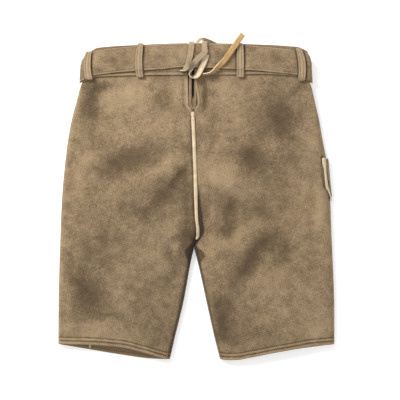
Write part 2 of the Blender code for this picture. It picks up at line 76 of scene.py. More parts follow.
SIDE = {
    "left": [(-290, -249.6), (-249, -249.6), (-177, -249.2), (-87, -246.8), (3, -243.2),
             (93, -234.8), (147, -225.8), (183, -215.8), (198.5, -211.4), (206.5, -209.2),
             (213, -206.8), (218, -202.6), (290, -202.6)],
    "right": [(-290, 250.6), (-249, 250.8), (-195, 250.8), (-159, 250), (-123, 248.6),
              (-87, 247), (-51, 245.4), (3, 243.4), (26, 241), (50, 239), (78, 236.4),
              (93, 233.4), (111, 229.8), (147, 223.4), (183, 214.8), (199, 210.8),
              (208, 208.4), (214, 206.2), (219, 202.6), (290, 202.6)],
}
BACK_SEAM = [(-290, -3.6), (-84, -3.6), (-68, 1.0), (-57, 3.2), (-28, 0.2), (50, -2.2),
             (152, -5.45), (290, -8)]
FRONT_SEAM = [(-290, -3.6), (-84, -3.6), (-60, 0), (290, 0)]
LEG_AWAY = {
    "left": [(-290, 44.8), (-249, 35.4), (-177, 18.2), (-105, 5.0), (-84, 0)],
    "right": [(-290, 48.1), (-249, 37.6), (-177, 21.6), (-105, 5.6), (-84, 0)],
}
SLIT_AWAY = {
    "left": [(152, 0), (164, 1.5), (174, 7.3), (228, 7.6), (290, 7)],
    "right": [(152, 0), (164, 2.5), (179, 9), (215, 5.5), (290, 5.9)],
}
FLAP_FOOT, FLAP_BEND, FLAP_HALF, FLAP_TOP = 58, 98, 74, 196
FLAP_AWAY = [(FLAP_FOOT, 0), (FLAP_BEND, FLAP_HALF), (290, FLAP_HALF)]
WAIST_BACK = [(-203, 262), (-178, 277), (-100, 282), (0, 285), (100, 283), (178, 279), (203, 266)]
WAIST_FRONT = [(-203, 262), (-178, 260), (0, 256), (178, 260), (203, 266)]
HEM_BACK = [(-249.6, -256.6), (-194, -257.4), (-135, -262), (-92, -272.4), (-65, -280.6),
            (-50, -284.2), (41, -284.4), (56, -285.8), (72, -285.4), (99, -280.8), (137, -273.2),
            (173, -266.8), (209, -260.6), (250.8, -257.4)]
HEM_FRONT = [(-249.6, -258), (-194, -267.4), (-135, -277), (-83, -284), (-50, -285.4),
             (42, -285.4), (72, -286), (99, -282), (137, -275), (191, -266), (250.8, -258)]
BAND_FOOT_BACK = [(-203, 216), (-190, 221.5), (-178, 225.2), (-60, 228), (60, 228.6), (110, 230),
                  (178, 226.6), (203, 218)]
BAND_FOOT_FRONT = [(-203, 209), (-150, 205), (0, 203), (150, 206), (203, 212)]
BELT_MID_BACK = [(-203, 242), (-178, 250.5), (-60, 261), (0, 263), (60, 261), (178, 251),
                 (203, 242)]
BELT_MID_FRONT = [(-203, 242), (-178, 237), (0, 231), (178, 237), (203, 242)]
WAIST_END = 0.108
BACK_HEIGHTS = [  # down, crown, shoulder, reach, fold, seam
    (0, 21.6, 17.6, 202.8, 4.5, 13.1),
    (WAIST_END, 21.6, 17.6, 202.8, 4.5, 13.1),
    (0.16, 22.6, 16.4, 180, 7.5, 9.0),
    (0.22, 24.2, 15.6, 150, 9.5, 5.6),
    (0.30, 25.6, 15.2, 130, 10, 4.65),
    (0.50, 26.2, 15.0, 120, 10, 4.65),
    (0.65, 24.8, 14.6, 110, 10, 4.65),
    (0.85, 22.4, 13.6, 100, 9, 4.65),
    (1.0, 18.5, 12.6, 95, 8, 4.65),
]
FRONT_HEIGHTS = [  # down, floor of the panel, fold
    (0, 8.6, 5.6),
    (WAIST_END, 8.6, 5.6),
    (0.165, 2.2, 6.0),
    (0.20, 0.0, 7.0),
    (1.0, 0.0, 7.0),
]
CROTCH_Y, CROTCH_START = -84, -34

# ---------------------------------------------------------------------------------------
# The soft forms of worn leather: (x, y) of start, middle and end, then the half width and the height,
# which is negative for a trough.
# ---------------------------------------------------------------------------------------
CREASES = [
    (-172, 62, -110, 78, -50, 106, 22, -2.6),
    (-14, 62, -38, 30, -98, -24, 12, -2.8),
    (-176, 216, -190, 180, -196, 146, 13, -2.8),
    (-58, 214, -50, 190, -62, 150, 11, -1.6),
    (-222, -130, -196, -162, -174, -206, 17, -2.4),
    (-206, -70, -160, -66, -108, -72, 7, -1.0),
    (-140, 204, -100, 192, -52, 196, 22, 1.6),
    (-150, 30, -110, 44, -60, 66, 14, 1.6),
    (-110, 8, -60, 60, -24, 84, 10, 1.4),
    (-60, -70, -50, -92, -34, -122, 8, -1.4),
    (-70, -62, -44, -80, -20, -84, 8, 1.2),
    (-118, -196, -70, -150, -40, -140, 12, -1.0),
    (-150, -140, -110, -120, -70, -128, 16, 1.0),
    (110, 178, 146, 158, 158, 120, 24, -2.2),
    (72, 102, 104, 74, 132, 50, 15, -2.4),
    (70, 10, 60, -14, 62, -42, 12, -2.2),
    (150, -48, 104, -98, 58, -176, 13, -3.4),
    (58, -170, 48, -214, 62, -258, 14, -2.4),
    (204, -96, 210, -112, 206, -130, 12, -1.2),
    (16, 216, 17.5, 190, 14, 160, 5, -2.2),
    (-10, 68, -27, 50, -46, 24, 6.5, -2.6),
    (28, 70, 50, 40, 84, 22, 14, 1.6),
    (214, 24, 226, -14, 216, -60, 9, 1.6),
    (96, -40, 70, -66, 40, -84, 12, 1.6),
    (150, -80, 118, -122, 92, -170, 12, 1.4),
    (86, -216, 120, -236, 150, -232, 14, -1.2),
    (130, 4, 170, -10, 200, -6, 16, -1.0),
]
# Tone over the nap, partly wear and partly painted shade and highlight: x, y, reach along x and y,
# and amount.
NAP_AND_SHADE_PATCHES = [
    # Listed where the nap is lighter or darker. Many lie on the creases, darker in their troughs and
    # lighter on their ridges, so they are partly painted shade and highlight. Three were altered
    # later.
    (-150, 190, 60, 26, 0.16), (-96, 120, 60, 34, 0.10), (-205, 40, 22, 60, 0.10),
    (-120, 60, 62, 26, -0.22), (-186, 176, 18, 44, -0.30), (-172, 110, 34, 22, -0.12),
    (-60, 178, 12, 24, -0.12), (-34, 204, 13, 22, 0.20), (-60, 14, 44, 26, -0.14),
    (-44, 62, 22, 22, 0.12),
    (-196, -168, 34, 46, -0.22), (-120, -96, 80, 40, 0.05), (-90, -190, 60, 40, -0.10),
    (-235, -200, 10, 60, 0.12), (-60, -240, 30, 26, -0.14), (-150, -236, 60, 22, 0.08),
    (146, 150, 44, 44, -0.26), (150, 60, 50, 30, -0.12), (98, 78, 34, 24, -0.22),
    (52, 190, 26, 34, 0.14), (46, 36, 34, 30, 0.14), (208, 120, 18, 50, 0.16),
    (222, -20, 14, 54, 0.18), (62, -18, 22, 30, -0.18), (30, -70, 26, 24, 0.14),
    (104, -100, 34, 50, -0.18), (56, -180, 32, 70, -0.17), (160, -150, 60, 50, 0.04),
    (190, -190, 26, 50, -0.06), (150, -240, 50, 16, -0.10), (220, -170, 20, 60, 0.06),
    # Corrections, each to bring one area's brightness closer to the real garment's. They make up for
    # errors in the light and the heights too: many are painted shade, under the belt and beside the
    # seat welt and the crotch, so not all of them are marks of wear.
    (-182, -65, 60, 90, -0.14), (112, -5, 34, 34, -0.24), (144, -69, 22, 20, -0.24),
    (-83, 190, 18, 18, -0.16), (-18, 93, 16, 16, -0.20), (60, -246, 18, 10, -0.16),
    (-15, 0, 12, 60, -0.22), (10, -30, 16, 50, -0.22), (-160, -205, 20, 10, -0.16),
    (-180, -231, 24, 20, 0.16), (192, -231, 30, 16, 0.14), (144, 93, 18, 16, 0.10),
    (-20, -80, 13, 30, -0.30), (-18, -37, 12, 16, -0.12), (47, -52, 18, 26, -0.14),
    (47, -228, 16, 18, -0.18), (79, 190, 20, 18, -0.13), (-66, 174, 26, 24, -0.10),
    (144, -102, 44, 16, -0.10), (209, -231, 16, 18, 0.08), (-180, 210, 18, 10, -0.16),
    (15.5, 190, 5, 26, -0.20), (-164, 207, 13, 9, -0.35), (28, 150, 12, 60, -0.10),
    (60, 10, 20, 20, -0.14), (57, -55, 14, 14, -0.26), (34, -182, 13, 20, -0.16),
    (160, -84, 20, 18, -0.24), (-99, -20, 20, 20, -0.18), (-99, -118, 20, 16, -0.20),
    (-130, -10, 20, 50, -0.10), (217, -240, 14, 10, 0.14), (-164, -205, 14, 10, -0.10),
    (190, 205, 14, 10, -0.20), (-232, -120, 12, 30, -0.10),
]
# Painted shade on the turned-in facets beside the crotch: y, and how far each reaches from its edge.
CROTCH_SHADE_FACETS = {
    "left": [(-290, 0), (-125, 0.5), (-112, 3.4), (-100, 9), (-87, 15), (-78, 8), (-70, 0)],
    "right": [(-290, 1.0), (-125, 1.5), (-112, 3.5), (-104, 10), (-96.5, 16.4), (-92, 15.5),
              (-87, 12), (-83, 7), (-78.5, 0)],
}
# Painted shade in the dip left of the seat seam's foot.
CROTCH_SHADE_DIP = (-5, -66, 7, 13)  # x, y and the reach along each
# Painted shade in the channel right of the seat seam's foot: y, and x of its right edge.
SEAM_FOOT_SHADE = [(-80, -2), (-72, 2), (-66, 9), (-60, 13.2), (-50, 15), (-40, 14), (-28, 12),
           (-10, 9.4), (20, 7), (60, 5)]


def along(table, at, column=1):
    """A table's column at each place, on a cubic that stays between its neighbouring points."""
    rows = np.array(table, float)
    place, value = rows[:, 0], rows[:, column]
    step = np.diff(place)
    slope = np.diff(value) / step
    same = slope[1:] * slope[:-1] > 0
    inner = np.where(same, 2 * slope[1:] * slope[:-1] / np.where(same, slope[1:] + slope[:-1], 1), 0)
    tangent = np.concatenate([slope[:1], inner, slope[-1:]])
    at = np.clip(at, place[0], place[-1])
    cell = np.clip(np.searchsorted(place, at) - 1, 0, len(step) - 1)
    t = (at - place[cell]) / step[cell]
    start = value[cell] * (1 + 2 * t) * (1 - t) ** 2 + tangent[cell] * step[cell] * t * (1 - t) ** 2
    end = value[cell + 1] * (3 - 2 * t) * t**2 - tangent[cell + 1] * step[cell] * t**2 * (1 - t)
    return start + end


def ease(t):
    """Three t squared less two t cubed, from 0 to 1."""
    t = np.clip(t, 0, 1)
    return t * t * (3 - 2 * t)


def bump(distance, width):
    """A bell of height 1: e to the minus of distance over width, squared."""
    return np.exp(-((distance / width) ** 2))


def bells(distance, table):
    """The sum of a table's bells: each row is where it stands, its width and its height."""
    return sum(height * bump(distance - place, width) for place, width, height in table)


LATTICE = 64  # cells along each side of the noise's lattice


def uneven(x, y, size, seed):
    """Smooth value noise from -1 to 1: random values on a square lattice, eased between."""
    lattice = np.random.default_rng(seed).uniform(-1, 1, (LATTICE, LATTICE))
    u, v = np.asarray(x) / size + 300.5, np.asarray(y) / size + 300.5
    i, j = np.floor(u).astype(int), np.floor(v).astype(int)
    s, t = ease(u - i), ease(v - j)
    corner = [lattice[(i + a) % LATTICE, (j + b) % LATTICE]
              for a, b in ((0, 0), (1, 0), (0, 1), (1, 1))]
    near = corner[0] * (1 - s) + corner[1] * s
    far = corner[2] * (1 - s) + corner[3] * s
    return near * (1 - t) + far * t


def unit(vectors):
    """Each vector over its length."""
    return vectors / np.maximum(np.linalg.norm(vectors, axis=-1, keepdims=True), 1e-12)


# ---------------------------------------------------------------------------------------
# Heights of the back and front
# ---------------------------------------------------------------------------------------
def inner_edge(side, seam, away, y):
    """The inner edge of a panel: the seam, half a gap, and the openings off it."""
    return along(seam, y) + SIDES[side] * (GAP / 2 + along(LEG_AWAY[side], y) + along(away, y))


def crease_height(x, y):
    """The sum of the creases: each is a bell across a curve through its three points, fading
    out along it as the sine of the way along, to the power of 0.6."""
    total = np.zeros(np.shape(x))
    for x0, y0, x1, y1, x2, y2, width, height in CREASES:
        best = np.full(np.shape(x), 1e9)
        fade = np.zeros(np.shape(x))
        for t in np.linspace(0.02, 0.98, 25):
            px = (1 - t) * (1 - 2 * t) * x0 + 4 * t * (1 - t) * x1 + t * (2 * t - 1) * x2
            py = (1 - t) * (1 - 2 * t) * y0 + 4 * t * (1 - t) * y1 + t * (2 * t - 1) * y2
            far = np.hypot(x - px, y - py)
            fade = np.where(far < best, math.sin(math.pi * t) ** 0.6, fade)
            best = np.minimum(best, far)
        total += height * fade * bump(best, width)
    return total


def still(x, down, outer):
    """A weight that holds the creases off the waistband, the hems and the edges."""
    below_band = ease((down - WAIST_END - 0.005) / 0.05)
    above_hem = ease((1 - down) / 0.07)
    off_side = ease(np.abs(x - outer) / 22)
    return below_band * (0.25 + 0.75 * above_hem) * off_side


def back_height(x, y, down, outer, inside):
    """The crown of the back, less a drop to each edge.

    A drop is a parabola from the crown to the shoulder over the reach, and a quarter ellipse
    from the shoulder to the seam over the fold. The inner edge drops only below the crotch.
    """
    crown, shoulder, reach, fold, seam = (along(BACK_HEIGHTS, down, k) for k in range(1, 6))
    height = crown.copy()
    crotch = ease((CROTCH_START - y) / (CROTCH_START - CROTCH_Y))
    for edge, share in ((outer, 1), (inside, crotch)):
        away = np.abs(x - edge)
        wide = (1 - np.clip(away / reach, 0, 1)) ** 2
        tight = 1 - np.sqrt(1 - (1 - np.clip(away / fold, 0, 1)) ** 2)
        height -= share * ((crown - shoulder) * wide + (shoulder - seam) * tight)
    return height


def front_height(x, y, down, outer, inside):
    """The floor of the front, rising in a quarter ellipse to the seam at each edge."""
    floor, fold = (along(FRONT_HEIGHTS, down, k) for k in (1, 2))
    seam = along(BACK_HEIGHTS, down, 5) - GAP - SEAM_SLACK
    height = floor.copy()
    crotch = ease((CROTCH_START - y) / (CROTCH_START - CROTCH_Y))
    for edge, share in ((outer, 1), (inside, crotch)):
        away = np.abs(x - edge)
        tight = 1 - np.sqrt(1 - (1 - np.clip(away / fold, 0, 1)) ** 2)
        height += share * (seam - floor) * tight
    return height


HEM_ROWS = (6.3, 12.5)  # the two rows of hem stitches, in from the edge
HEM_MIDDLE = sum(HEM_ROWS) / 2
SLIT_ROW = {"left": 9.5, "right": 4.6}
FRONT_HEM_ROW = 5.4
SEAM_TOP, SEAM_FOOT, SLIT_FOOT = 158, -80, 160
HEM_ROLL, HEM_ROLL_DROP = 1.6, 1.3
# Bells across an edge: the place in from it, the width, and the height or the tone. The hem's tone is
# painted shade in its stitch grooves and painted highlight on its ridge and rolled edge.
HEM_RELIEF = [(row, 1.0, -0.55) for row in HEM_ROWS] + [(HEM_MIDDLE, 2.2, 0.35), (2.6, 1.6, 0.3)]
HEM_SHADE_AND_HIGHLIGHT = [(row, 1.1, -0.34) for row in HEM_ROWS] + [(HEM_MIDDLE, 2.4, 0.16), (1.5, 2.2, 0.30)]
SEAM_RELIEF = [(3.6, 1.7, -1.1), (5, 5, -0.25)]


def back_detail(side, x, y, down, outer, inside):
    """What the stitching and wear add to the back's height: creases, a slow unevenness, the hem's two
    grooves with its rolled edge, the welted seat seam's pucker and the slit's turned edges."""
    calm = still(x, down, outer)
    height = calm * crease_height(x, y)
    height += calm * (0.5 * uneven(x, y, 46, 3) + 0.22 * uneven(x, y, 19, 4))
    height += 0.07 * calm * uneven(x, y, 7, 5)
    hem = y - along(HEM_BACK, x)
    height += bells(hem, HEM_RELIEF) - HEM_ROLL_DROP * (1 - np.clip(hem / HEM_ROLL, 0, 1)) ** 2
    away = np.abs(x - inside)
    seam = ease((SEAM_TOP - y) / 10) * ease((y - SEAM_FOOT) / 12)
    height += seam * bells(away, SEAM_RELIEF)
    height += seam * 0.45 * bump(away - 8, 3.0) * (1 + 0.5 * uneven(y, away, 9, 6))
    slit = ease((y - SLIT_FOOT) / 8)
    height += slit * bells(away, [(2, 2, 0.7), (SLIT_ROW[side], 1.0, -0.25)])
    return height


def back_at(side, x, y):
    """The back's height at any place: the panel's crown and its detail."""
    x, y = np.broadcast_arrays(np.asarray(x, float), np.asarray(y, float))
    top, foot = along(WAIST_BACK, x), along(HEM_BACK, x)
    down = (top - y) / (top - foot)
    plan = (x, y, down, along(SIDE[side], y), inner_edge(side, BACK_SEAM, SLIT_AWAY[side], y))
    return back_height(*plan) + back_detail(side, *plan)


PLAN_ROUNDS = 14  # by then the outlines and the rows agree


def panel_plan(side, rows, columns, seam, away, waist, hem, fold_table, fold_column):
    """A panel's plan: rows from waist to hem and columns from side to middle, both of them
    worked out together, because each row's ends lie on outlines that are functions of y."""
    sign = -SIDES[side]
    down = rows[:, None]
    fold = along(fold_table, down, fold_column)
    turn = 1 - np.cos(np.linspace(0, math.pi / 2, 9))[None, :]
    turn = np.sort(np.append(turn[0], [0.004, 0.05]))[None, :]
    between = np.linspace(0, 1, columns + 1)[None, 1:-1]
    y = np.zeros((len(rows), turn.size * 2 + between.size)) + 260 - 520 * down
    for _ in range(PLAN_ROUNDS):
        outer = along(SIDE[side], y)
        inside = inner_edge(side, seam, away, y)
        low, high = outer + sign * fold, inside - sign * fold
        cut = turn.size
        x = np.hstack([
            outer[:, :cut] + sign * fold * turn,
            low[:, cut:-cut] * (1 - between) + high[:, cut:-cut] * between,
            inside[:, -cut:] - sign * fold * turn[:, ::-1],
        ])
        y = along(waist, x) * (1 - down) + along(hem, x) * down
    return x, y, np.broadcast_to(down, x.shape), outer, inside


# ---------------------------------------------------------------------------------------
# Meshes
# ---------------------------------------------------------------------------------------
def new_object(name, points, faces, finishes):
    """A smooth-shaded mesh object from points in millimetres and lists of faces."""
    mesh = bpy.data.meshes.new(name)
    mesh.from_pydata((np.asarray(points).reshape(-1, 3) * MM).tolist(), [], faces)
    mesh.shade_smooth()
    for finish in finishes:
        mesh.materials.append(bpy.data.materials[finish])
    thing = bpy.data.objects.new(f"{name}_leather" if name in bpy.data.objects else name, mesh)
    bpy.context.scene.collection.objects.link(thing)
    return thing


def set_tone(thing, tone):
    """The tone as a point attribute, which the suede reads: wear, painted shade and painted
    highlight.
    """
    attribute = thing.data.attributes.new("tone", "FLOAT", "POINT")
    attribute.data.foreach_set("value", np.clip(np.asarray(tone, np.float32).ravel(), -1, 1))


def grid_faces(rows, columns, flip=False, tube=False):
    """Quads over a grid of points, closed round the columns for a tube."""
    index = np.arange(rows * columns).reshape(rows, columns)
    if tube:
        index = np.hstack([index, index[:, :1]])
    quads = np.stack([index[:-1, :-1], index[1:, :-1], index[1:, 1:], index[:-1, 1:]], axis=-1)
    quads = quads.reshape(-1, 4)
    return (quads[:, ::-1] if flip else quads).tolist()


def sheet_piece(name, grid, wall, finish, flip=False, tone=None, tube=False):
    """An open surface of points (rows, columns, 3), its outer face, with its wall inwards."""
    thing = new_object(name, grid, grid_faces(*grid.shape[:2], flip, tube=tube), [finish])
    set_tone(thing, np.zeros(grid.shape[:2]) if tone is None else tone)
    solidify = thing.modifiers.new("wall", "SOLIDIFY")
    solidify.thickness = wall * MM
    solidify.offset = -1
    solidify.use_even_offset = True
    return thing


def tube_piece(name, points, run, finishes, tone):
    """A closed tube through points (rows, columns, 3), its first section square to the run. A
    face closes each end, and all are turned outwards."""
    rows, columns = points.shape[:2]
    faces = grid_faces(rows, columns, tube=True)
    faces.append(list(range(columns)))
    faces.append(list(range(rows * columns - 1, (rows - 1) * columns - 1, -1)))
    thing = new_object(name, points, faces, finishes)
    first = points[0] - points[0].mean(axis=0)
    turn = np.cross(first, np.roll(first, -1, axis=0)).sum(axis=0)
    if np.dot(turn, run) > 0:
        thing.data.flip_normals()
    set_tone(thing, np.broadcast_to(tone, (rows, columns)))
    return thing


def carried(name, path, across, outward, profile, finish, taper, tone=0.0):
    """A closed profile (k, 2) carried along a path: each point is the path's, plus the
    profile's first number across it, times the taper, and its second outwards."""
    points = (
        path[:, None, :]
        + across[:, None, :] * (profile[None, :, 0:1] * taper[:, None, None])
        + outward[:, None, :] * profile[None, :, 1:2]
    )
    return tube_piece(name, points, path[1] - path[0], [finish], tone)


def round_profile(width, thick):
    """Half of an ellipse, raised by 0.15 of its thickness on a flat foot 0.8 as wide."""
    angle = np.linspace(math.pi, 0, 14)
    upper = np.stack([np.cos(angle) * width / 2, (0.85 * np.sin(angle) + 0.15) * thick], axis=-1)
    lower = np.array([[0.4 * width, 0], [-0.4 * width, 0]])
    return np.vstack([upper, lower])


def smooth_route(table, pieces):
    """A Catmull-Rom curve through the rows of a table, all of their columns."""
    route = np.array(table, float)
    ends = np.vstack([2 * route[0] - route[1], route, 2 * route[-1] - route[-2]])
    t = np.linspace(0, 1, pieces, endpoint=False)[None, :, None]
    a, b, c, d = (ends[k:len(ends) - 3 + k][:, None, :] for k in range(4))
    curve = 0.5 * (2 * b + (c - a) * t + (2 * a - 5 * b + 4 * c - d) * t**2
                   + (3 * b - 3 * c + d - a) * t**3)
    return np.vstack([curve.reshape(-1, route.shape[1]), route[-1:]])


def respaced(line, step):
    """The line's points again, at equal steps along it."""
    run = np.concatenate([[0], np.cumsum(np.linalg.norm(np.diff(line[:, :3], axis=0), axis=1))])
    count = max(2, int(round(run[-1] / step)) + 1)
    at = np.linspace(0, run[-1], count)
    return np.stack([np.interp(at, run, line[:, k]) for k in range(line.shape[1])], axis=-1)


# Each row of thread: pitch, length of a stitch, radius and finish.
THREADS = {
    "hem": (3.7, 2.7, 0.5, "thread_brown"), "front_hem": (3.7, 2.7, 0.45, "thread_brown"),
    "belt": (3.3, 2.5, 0.42, "thread_tan"), "band": (3.4, 2.4, 0.4, "thread_tan"),
    "slit": (3.6, 2.4, 0.42, "thread_brown"), "loop": (3.1, 2.3, 0.38, "thread_tan"),
}


def flat_up(line):
    """The same upward direction at each point of a line."""
    return np.tile((0, 0, 1.0), (len(line), 1))


def stitches(name, lines, kind):
    """Rows of thread: each stitch is a spindle, six points round, along its line. Its radius is
    the square root of one less t squared, and it sinks at its ends."""
    pitch, length, radius, finish = THREADS[kind]
    spots, runs, ups = [], [], []
    for line, up in lines:
        joined = respaced(np.hstack([line, up]), pitch)
        run = np.gradient(joined[:, :3], axis=0)
        spots.append(joined[:, :3])
        runs.append(unit(run))
        ups.append(unit(joined[:, 3:]))
    spots, runs, ups = (np.vstack(part) for part in (spots, runs, ups))
    sides = unit(np.cross(runs, ups))
    t = np.array([-1, -0.72, 0, 0.72, 1])
    swell = np.sqrt(np.clip(1 - t**2, 0.02, 1))
    angle = np.arange(6) * math.pi / 3
    ring = (
        spots[:, None, None, :]
        + runs[:, None, None, :] * (t * length / 2)[None, :, None, None]
        + (sides[:, None, None, :] * np.cos(angle)[None, None, :, None]
           + ups[:, None, None, :] * np.sin(angle)[None, None, :, None])
        * (swell * radius)[None, :, None, None]
        - ups[:, None, None, :] * (0.5 * radius * t**4)[None, :, None, None]
    )
    one = np.array(grid_faces(len(t), len(angle), tube=True))
    bases = np.arange(len(spots)) * len(t) * len(angle)
    every = (one[None] + bases[:, None, None]).reshape(-1, 4).tolist()
    ends = np.arange(len(angle))
    caps = [(base + ends).tolist() for base in bases]
    caps += [(base + (len(t) - 1) * len(angle) + ends[::-1]).tolist() for base in bases]
    thing = new_object(name, ring, every + caps, [finish])
    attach(thing, "root")


def laid_sheet(thing, slot, grid, rests_on, *nodes):
    """Attaches a piece cut from leather to the root, and hides its nodes' solids."""
    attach(thing, "root")
    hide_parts(*nodes)


def trim(thing, node):
    """Attaches a narrow strip to the root, and hides the solid of its node."""
    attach(thing, "root")
    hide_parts(node)


def strap_sheet(thing, node):
    """A strap: attached to the root like a trim, with its node's solid hidden."""
    trim(thing, node)


# ---------------------------------------------------------------------------------------
# Finishes
# ---------------------------------------------------------------------------------------
def new_material(name):
    """A material's node tree, its Principled shader, and a function that adds a node. That
    takes the node's settings by name, and its inputs as in_ and the input's number."""
    material = bpy.data.materials.new(name)
    material.use_nodes = True
    tree = material.node_tree
    shader = tree.nodes["Principled BSDF"]

    def node(kind, **values):
        made = tree.nodes.new(kind)
        for key, value in values.items():
            if key.startswith("in_"):
                made.inputs[int(key[3:])].default_value = value
            else:
                setattr(made, key, value)
        return made

    return tree, shader, node


def noise(tree, node, coordinates, scale, detail, rough=0.55, stretch=None):
    """A noise texture on object coordinates, its features one over the scale in metres."""
    texture = node("ShaderNodeTexNoise")
    texture.inputs["Scale"].default_value = scale
    texture.inputs["Detail"].default_value = detail
    texture.inputs["Roughness"].default_value = rough
    source = coordinates
    if stretch:
        mapping = node("ShaderNodeMapping")
        mapping.inputs["Scale"].default_value = stretch
        tree.links.new(coordinates, mapping.inputs["Vector"])
        source = mapping.outputs["Vector"]
    tree.links.new(source, texture.inputs["Vector"])
    return texture.outputs["Fac"]


def weighted(tree, node, parts):
    """The sum of each output less its middle, times its weight."""
    total = None
    for output, middle, weight in parts:
        scaled = node("ShaderNodeMath", operation="MULTIPLY_ADD", in_1=weight, in_2=-middle * weight)
        tree.links.new(output, scaled.inputs[0])
        if total is None:
            total = scaled.outputs[0]
            continue
        plus = node("ShaderNodeMath", operation="ADD")
        tree.links.new(total, plus.inputs[0])
        tree.links.new(scaled.outputs[0], plus.inputs[1])
        total = plus.outputs[0]
    return total


def raise_surface(tree, node, shader, height, strength, distance):
    """A bump on the shader by a height, as deep as the distance in metres."""
    raised = node("ShaderNodeBump")
    raised.inputs["Strength"].default_value = strength
    raised.inputs["Distance"].default_value = distance
    tree.links.new(height, raised.inputs["Height"])
    tree.links.new(raised.outputs["Normal"], shader.inputs["Normal"])


WARM = (1.0, 0.91833, 0.78, 1)  # what the warm drift multiplies the colour by


def suede(name, dark, light, mottle=1.0, warm_share=0.25):
    """Brushed suede: a colour between dark and light by the nap and the painted shade, which are the
    sum of the tone attribute, with its painted shade and highlight, soft patches, blotches, fine
    specks and a slow warm drift; the nap also gives a fine bump, rough and without gloss, with a
    faint sheen."""
    tree, shader, node = new_material(name)
    place = node("ShaderNodeTexCoord").outputs["Object"]
    tone = node("ShaderNodeAttribute", attribute_name="tone").outputs["Fac"]
    patches = noise(tree, node, place, 17, 3, 0.6)
    blotches = noise(tree, node, place, 60, 4, 0.65)
    specks = noise(tree, node, place, 420, 3, 0.7)
    fibres = noise(tree, node, place, 1400, 2, 0.6)
    nap = weighted(tree, node, [
        (tone, 0, 1.0), (patches, 0.5, 0.55 * mottle), (blotches, 0.5, 0.75 * mottle),
        (specks, 0.5, 1.15 * mottle), (fibres, 0.5, 0.7 * mottle),
    ])
    ramp = node("ShaderNodeValToRGB")
    ramp.color_ramp.interpolation = "EASE"
    ramp.color_ramp.elements[0].color = (*(0.42 * part for part in dark), 1)
    ramp.color_ramp.elements[1].color = (*light, 1)
    ramp.color_ramp.elements.new(0.25).color = (*dark, 1)
    half = node("ShaderNodeMath", operation="MULTIPLY_ADD", in_1=0.75, in_2=0.625)
    tree.links.new(nap, half.inputs[0])
    tree.links.new(half.outputs[0], ramp.inputs["Fac"])
    drift = noise(tree, node, place, 9, 2)
    share = node("ShaderNodeMath", operation="MULTIPLY_ADD", in_1=2.2 * warm_share,
                 in_2=-0.9 * warm_share)
    share.use_clamp = True
    tree.links.new(drift, share.inputs[0])
    warmed = node("ShaderNodeMix", data_type="RGBA", blend_type="MULTIPLY")
    warmed.inputs[7].default_value = WARM
    tree.links.new(share.outputs[0], warmed.inputs[0])
    tree.links.new(ramp.outputs["Color"], warmed.inputs[6])
    tree.links.new(warmed.outputs[2], shader.inputs["Base Color"])
    height = weighted(tree, node, [(specks, 0.5, 0.6), (fibres, 0.5, 0.5), (blotches, 0.5, 0.8)])
    raise_surface(tree, node, shader, height, 0.35, 1.2 * MM)
    shader.inputs["Roughness"].default_value = 0.95
    shader.inputs["Specular IOR Level"].default_value = 0.12
    shader.inputs["Sheen Weight"].default_value = 0.12
    shader.inputs["Sheen Roughness"].default_value = 0.6


def smooth_leather(name, dark, light, rough=0.6, scale=300):
    """Cut leather: a colour between dark and light by blotches and fine pores, which also give a
    bump.
    """
    tree, shader, node = new_material(name)
    place = node("ShaderNodeTexCoord").outputs["Object"]
    blotches = noise(tree, node, place, 70, 4, 0.6)
    pores = noise(tree, node, place, scale * 3, 3, 0.6)
    colour = weighted(tree, node, [(blotches, 0.5, 1.5), (pores, 0.5, 0.7)])
    ramp = node("ShaderNodeValToRGB")
    ramp.color_ramp.elements[0].color = (*dark, 1)
    ramp.color_ramp.elements[1].color = (*light, 1)
    half = node("ShaderNodeMath", operation="ADD", in_1=0.5)
    tree.links.new(colour, half.inputs[0])
    tree.links.new(half.outputs[0], ramp.inputs["Fac"])
    tree.links.new(ramp.outputs["Color"], shader.inputs["Base Color"])
    raise_surface(tree, node, shader, pores, 0.25, 0.6 * MM)
    shader.inputs["Roughness"].default_value = rough
    shader.inputs["Specular IOR Level"].default_value = 0.25


def metal_finish():
    """Dull nickel, with a slow change of roughness and fine scratches."""
    tree, shader, node = new_material("dull_nickel")
    place = node("ShaderNodeTexCoord").outputs["Object"]
    worn = noise(tree, node, place, 120, 4)
    scratches = noise(tree, node, place, 500, 2, 0.5, (1, 14, 1))
    rough = node("ShaderNodeMapRange", in_3=0.28, in_4=0.55)
    tree.links.new(worn, rough.inputs[0])
    tree.links.new(rough.outputs[0], shader.inputs["Roughness"])
    raise_surface(tree, node, shader, scratches, 0.1, 0.3 * MM)
    shader.inputs["Base Color"].default_value = (0.55, 0.52, 0.46, 1)
    shader.inputs["Metallic"].default_value = 1


def floor_finish():
    """A plain pale floor, which gives a little light of its own so that shadows stay soft."""
    _, shader, _ = new_material("pale_floor")
    shader.inputs["Base Color"].default_value = (0.93, 0.93, 0.93, 1)
    shader.inputs["Roughness"].default_value = 0.9
    shader.inputs["Specular IOR Level"].default_value = 0.0
    shader.inputs["Emission Color"].default_value = (1, 1, 1, 1)
    shader.inputs["Emission Strength"].default_value = 0.35


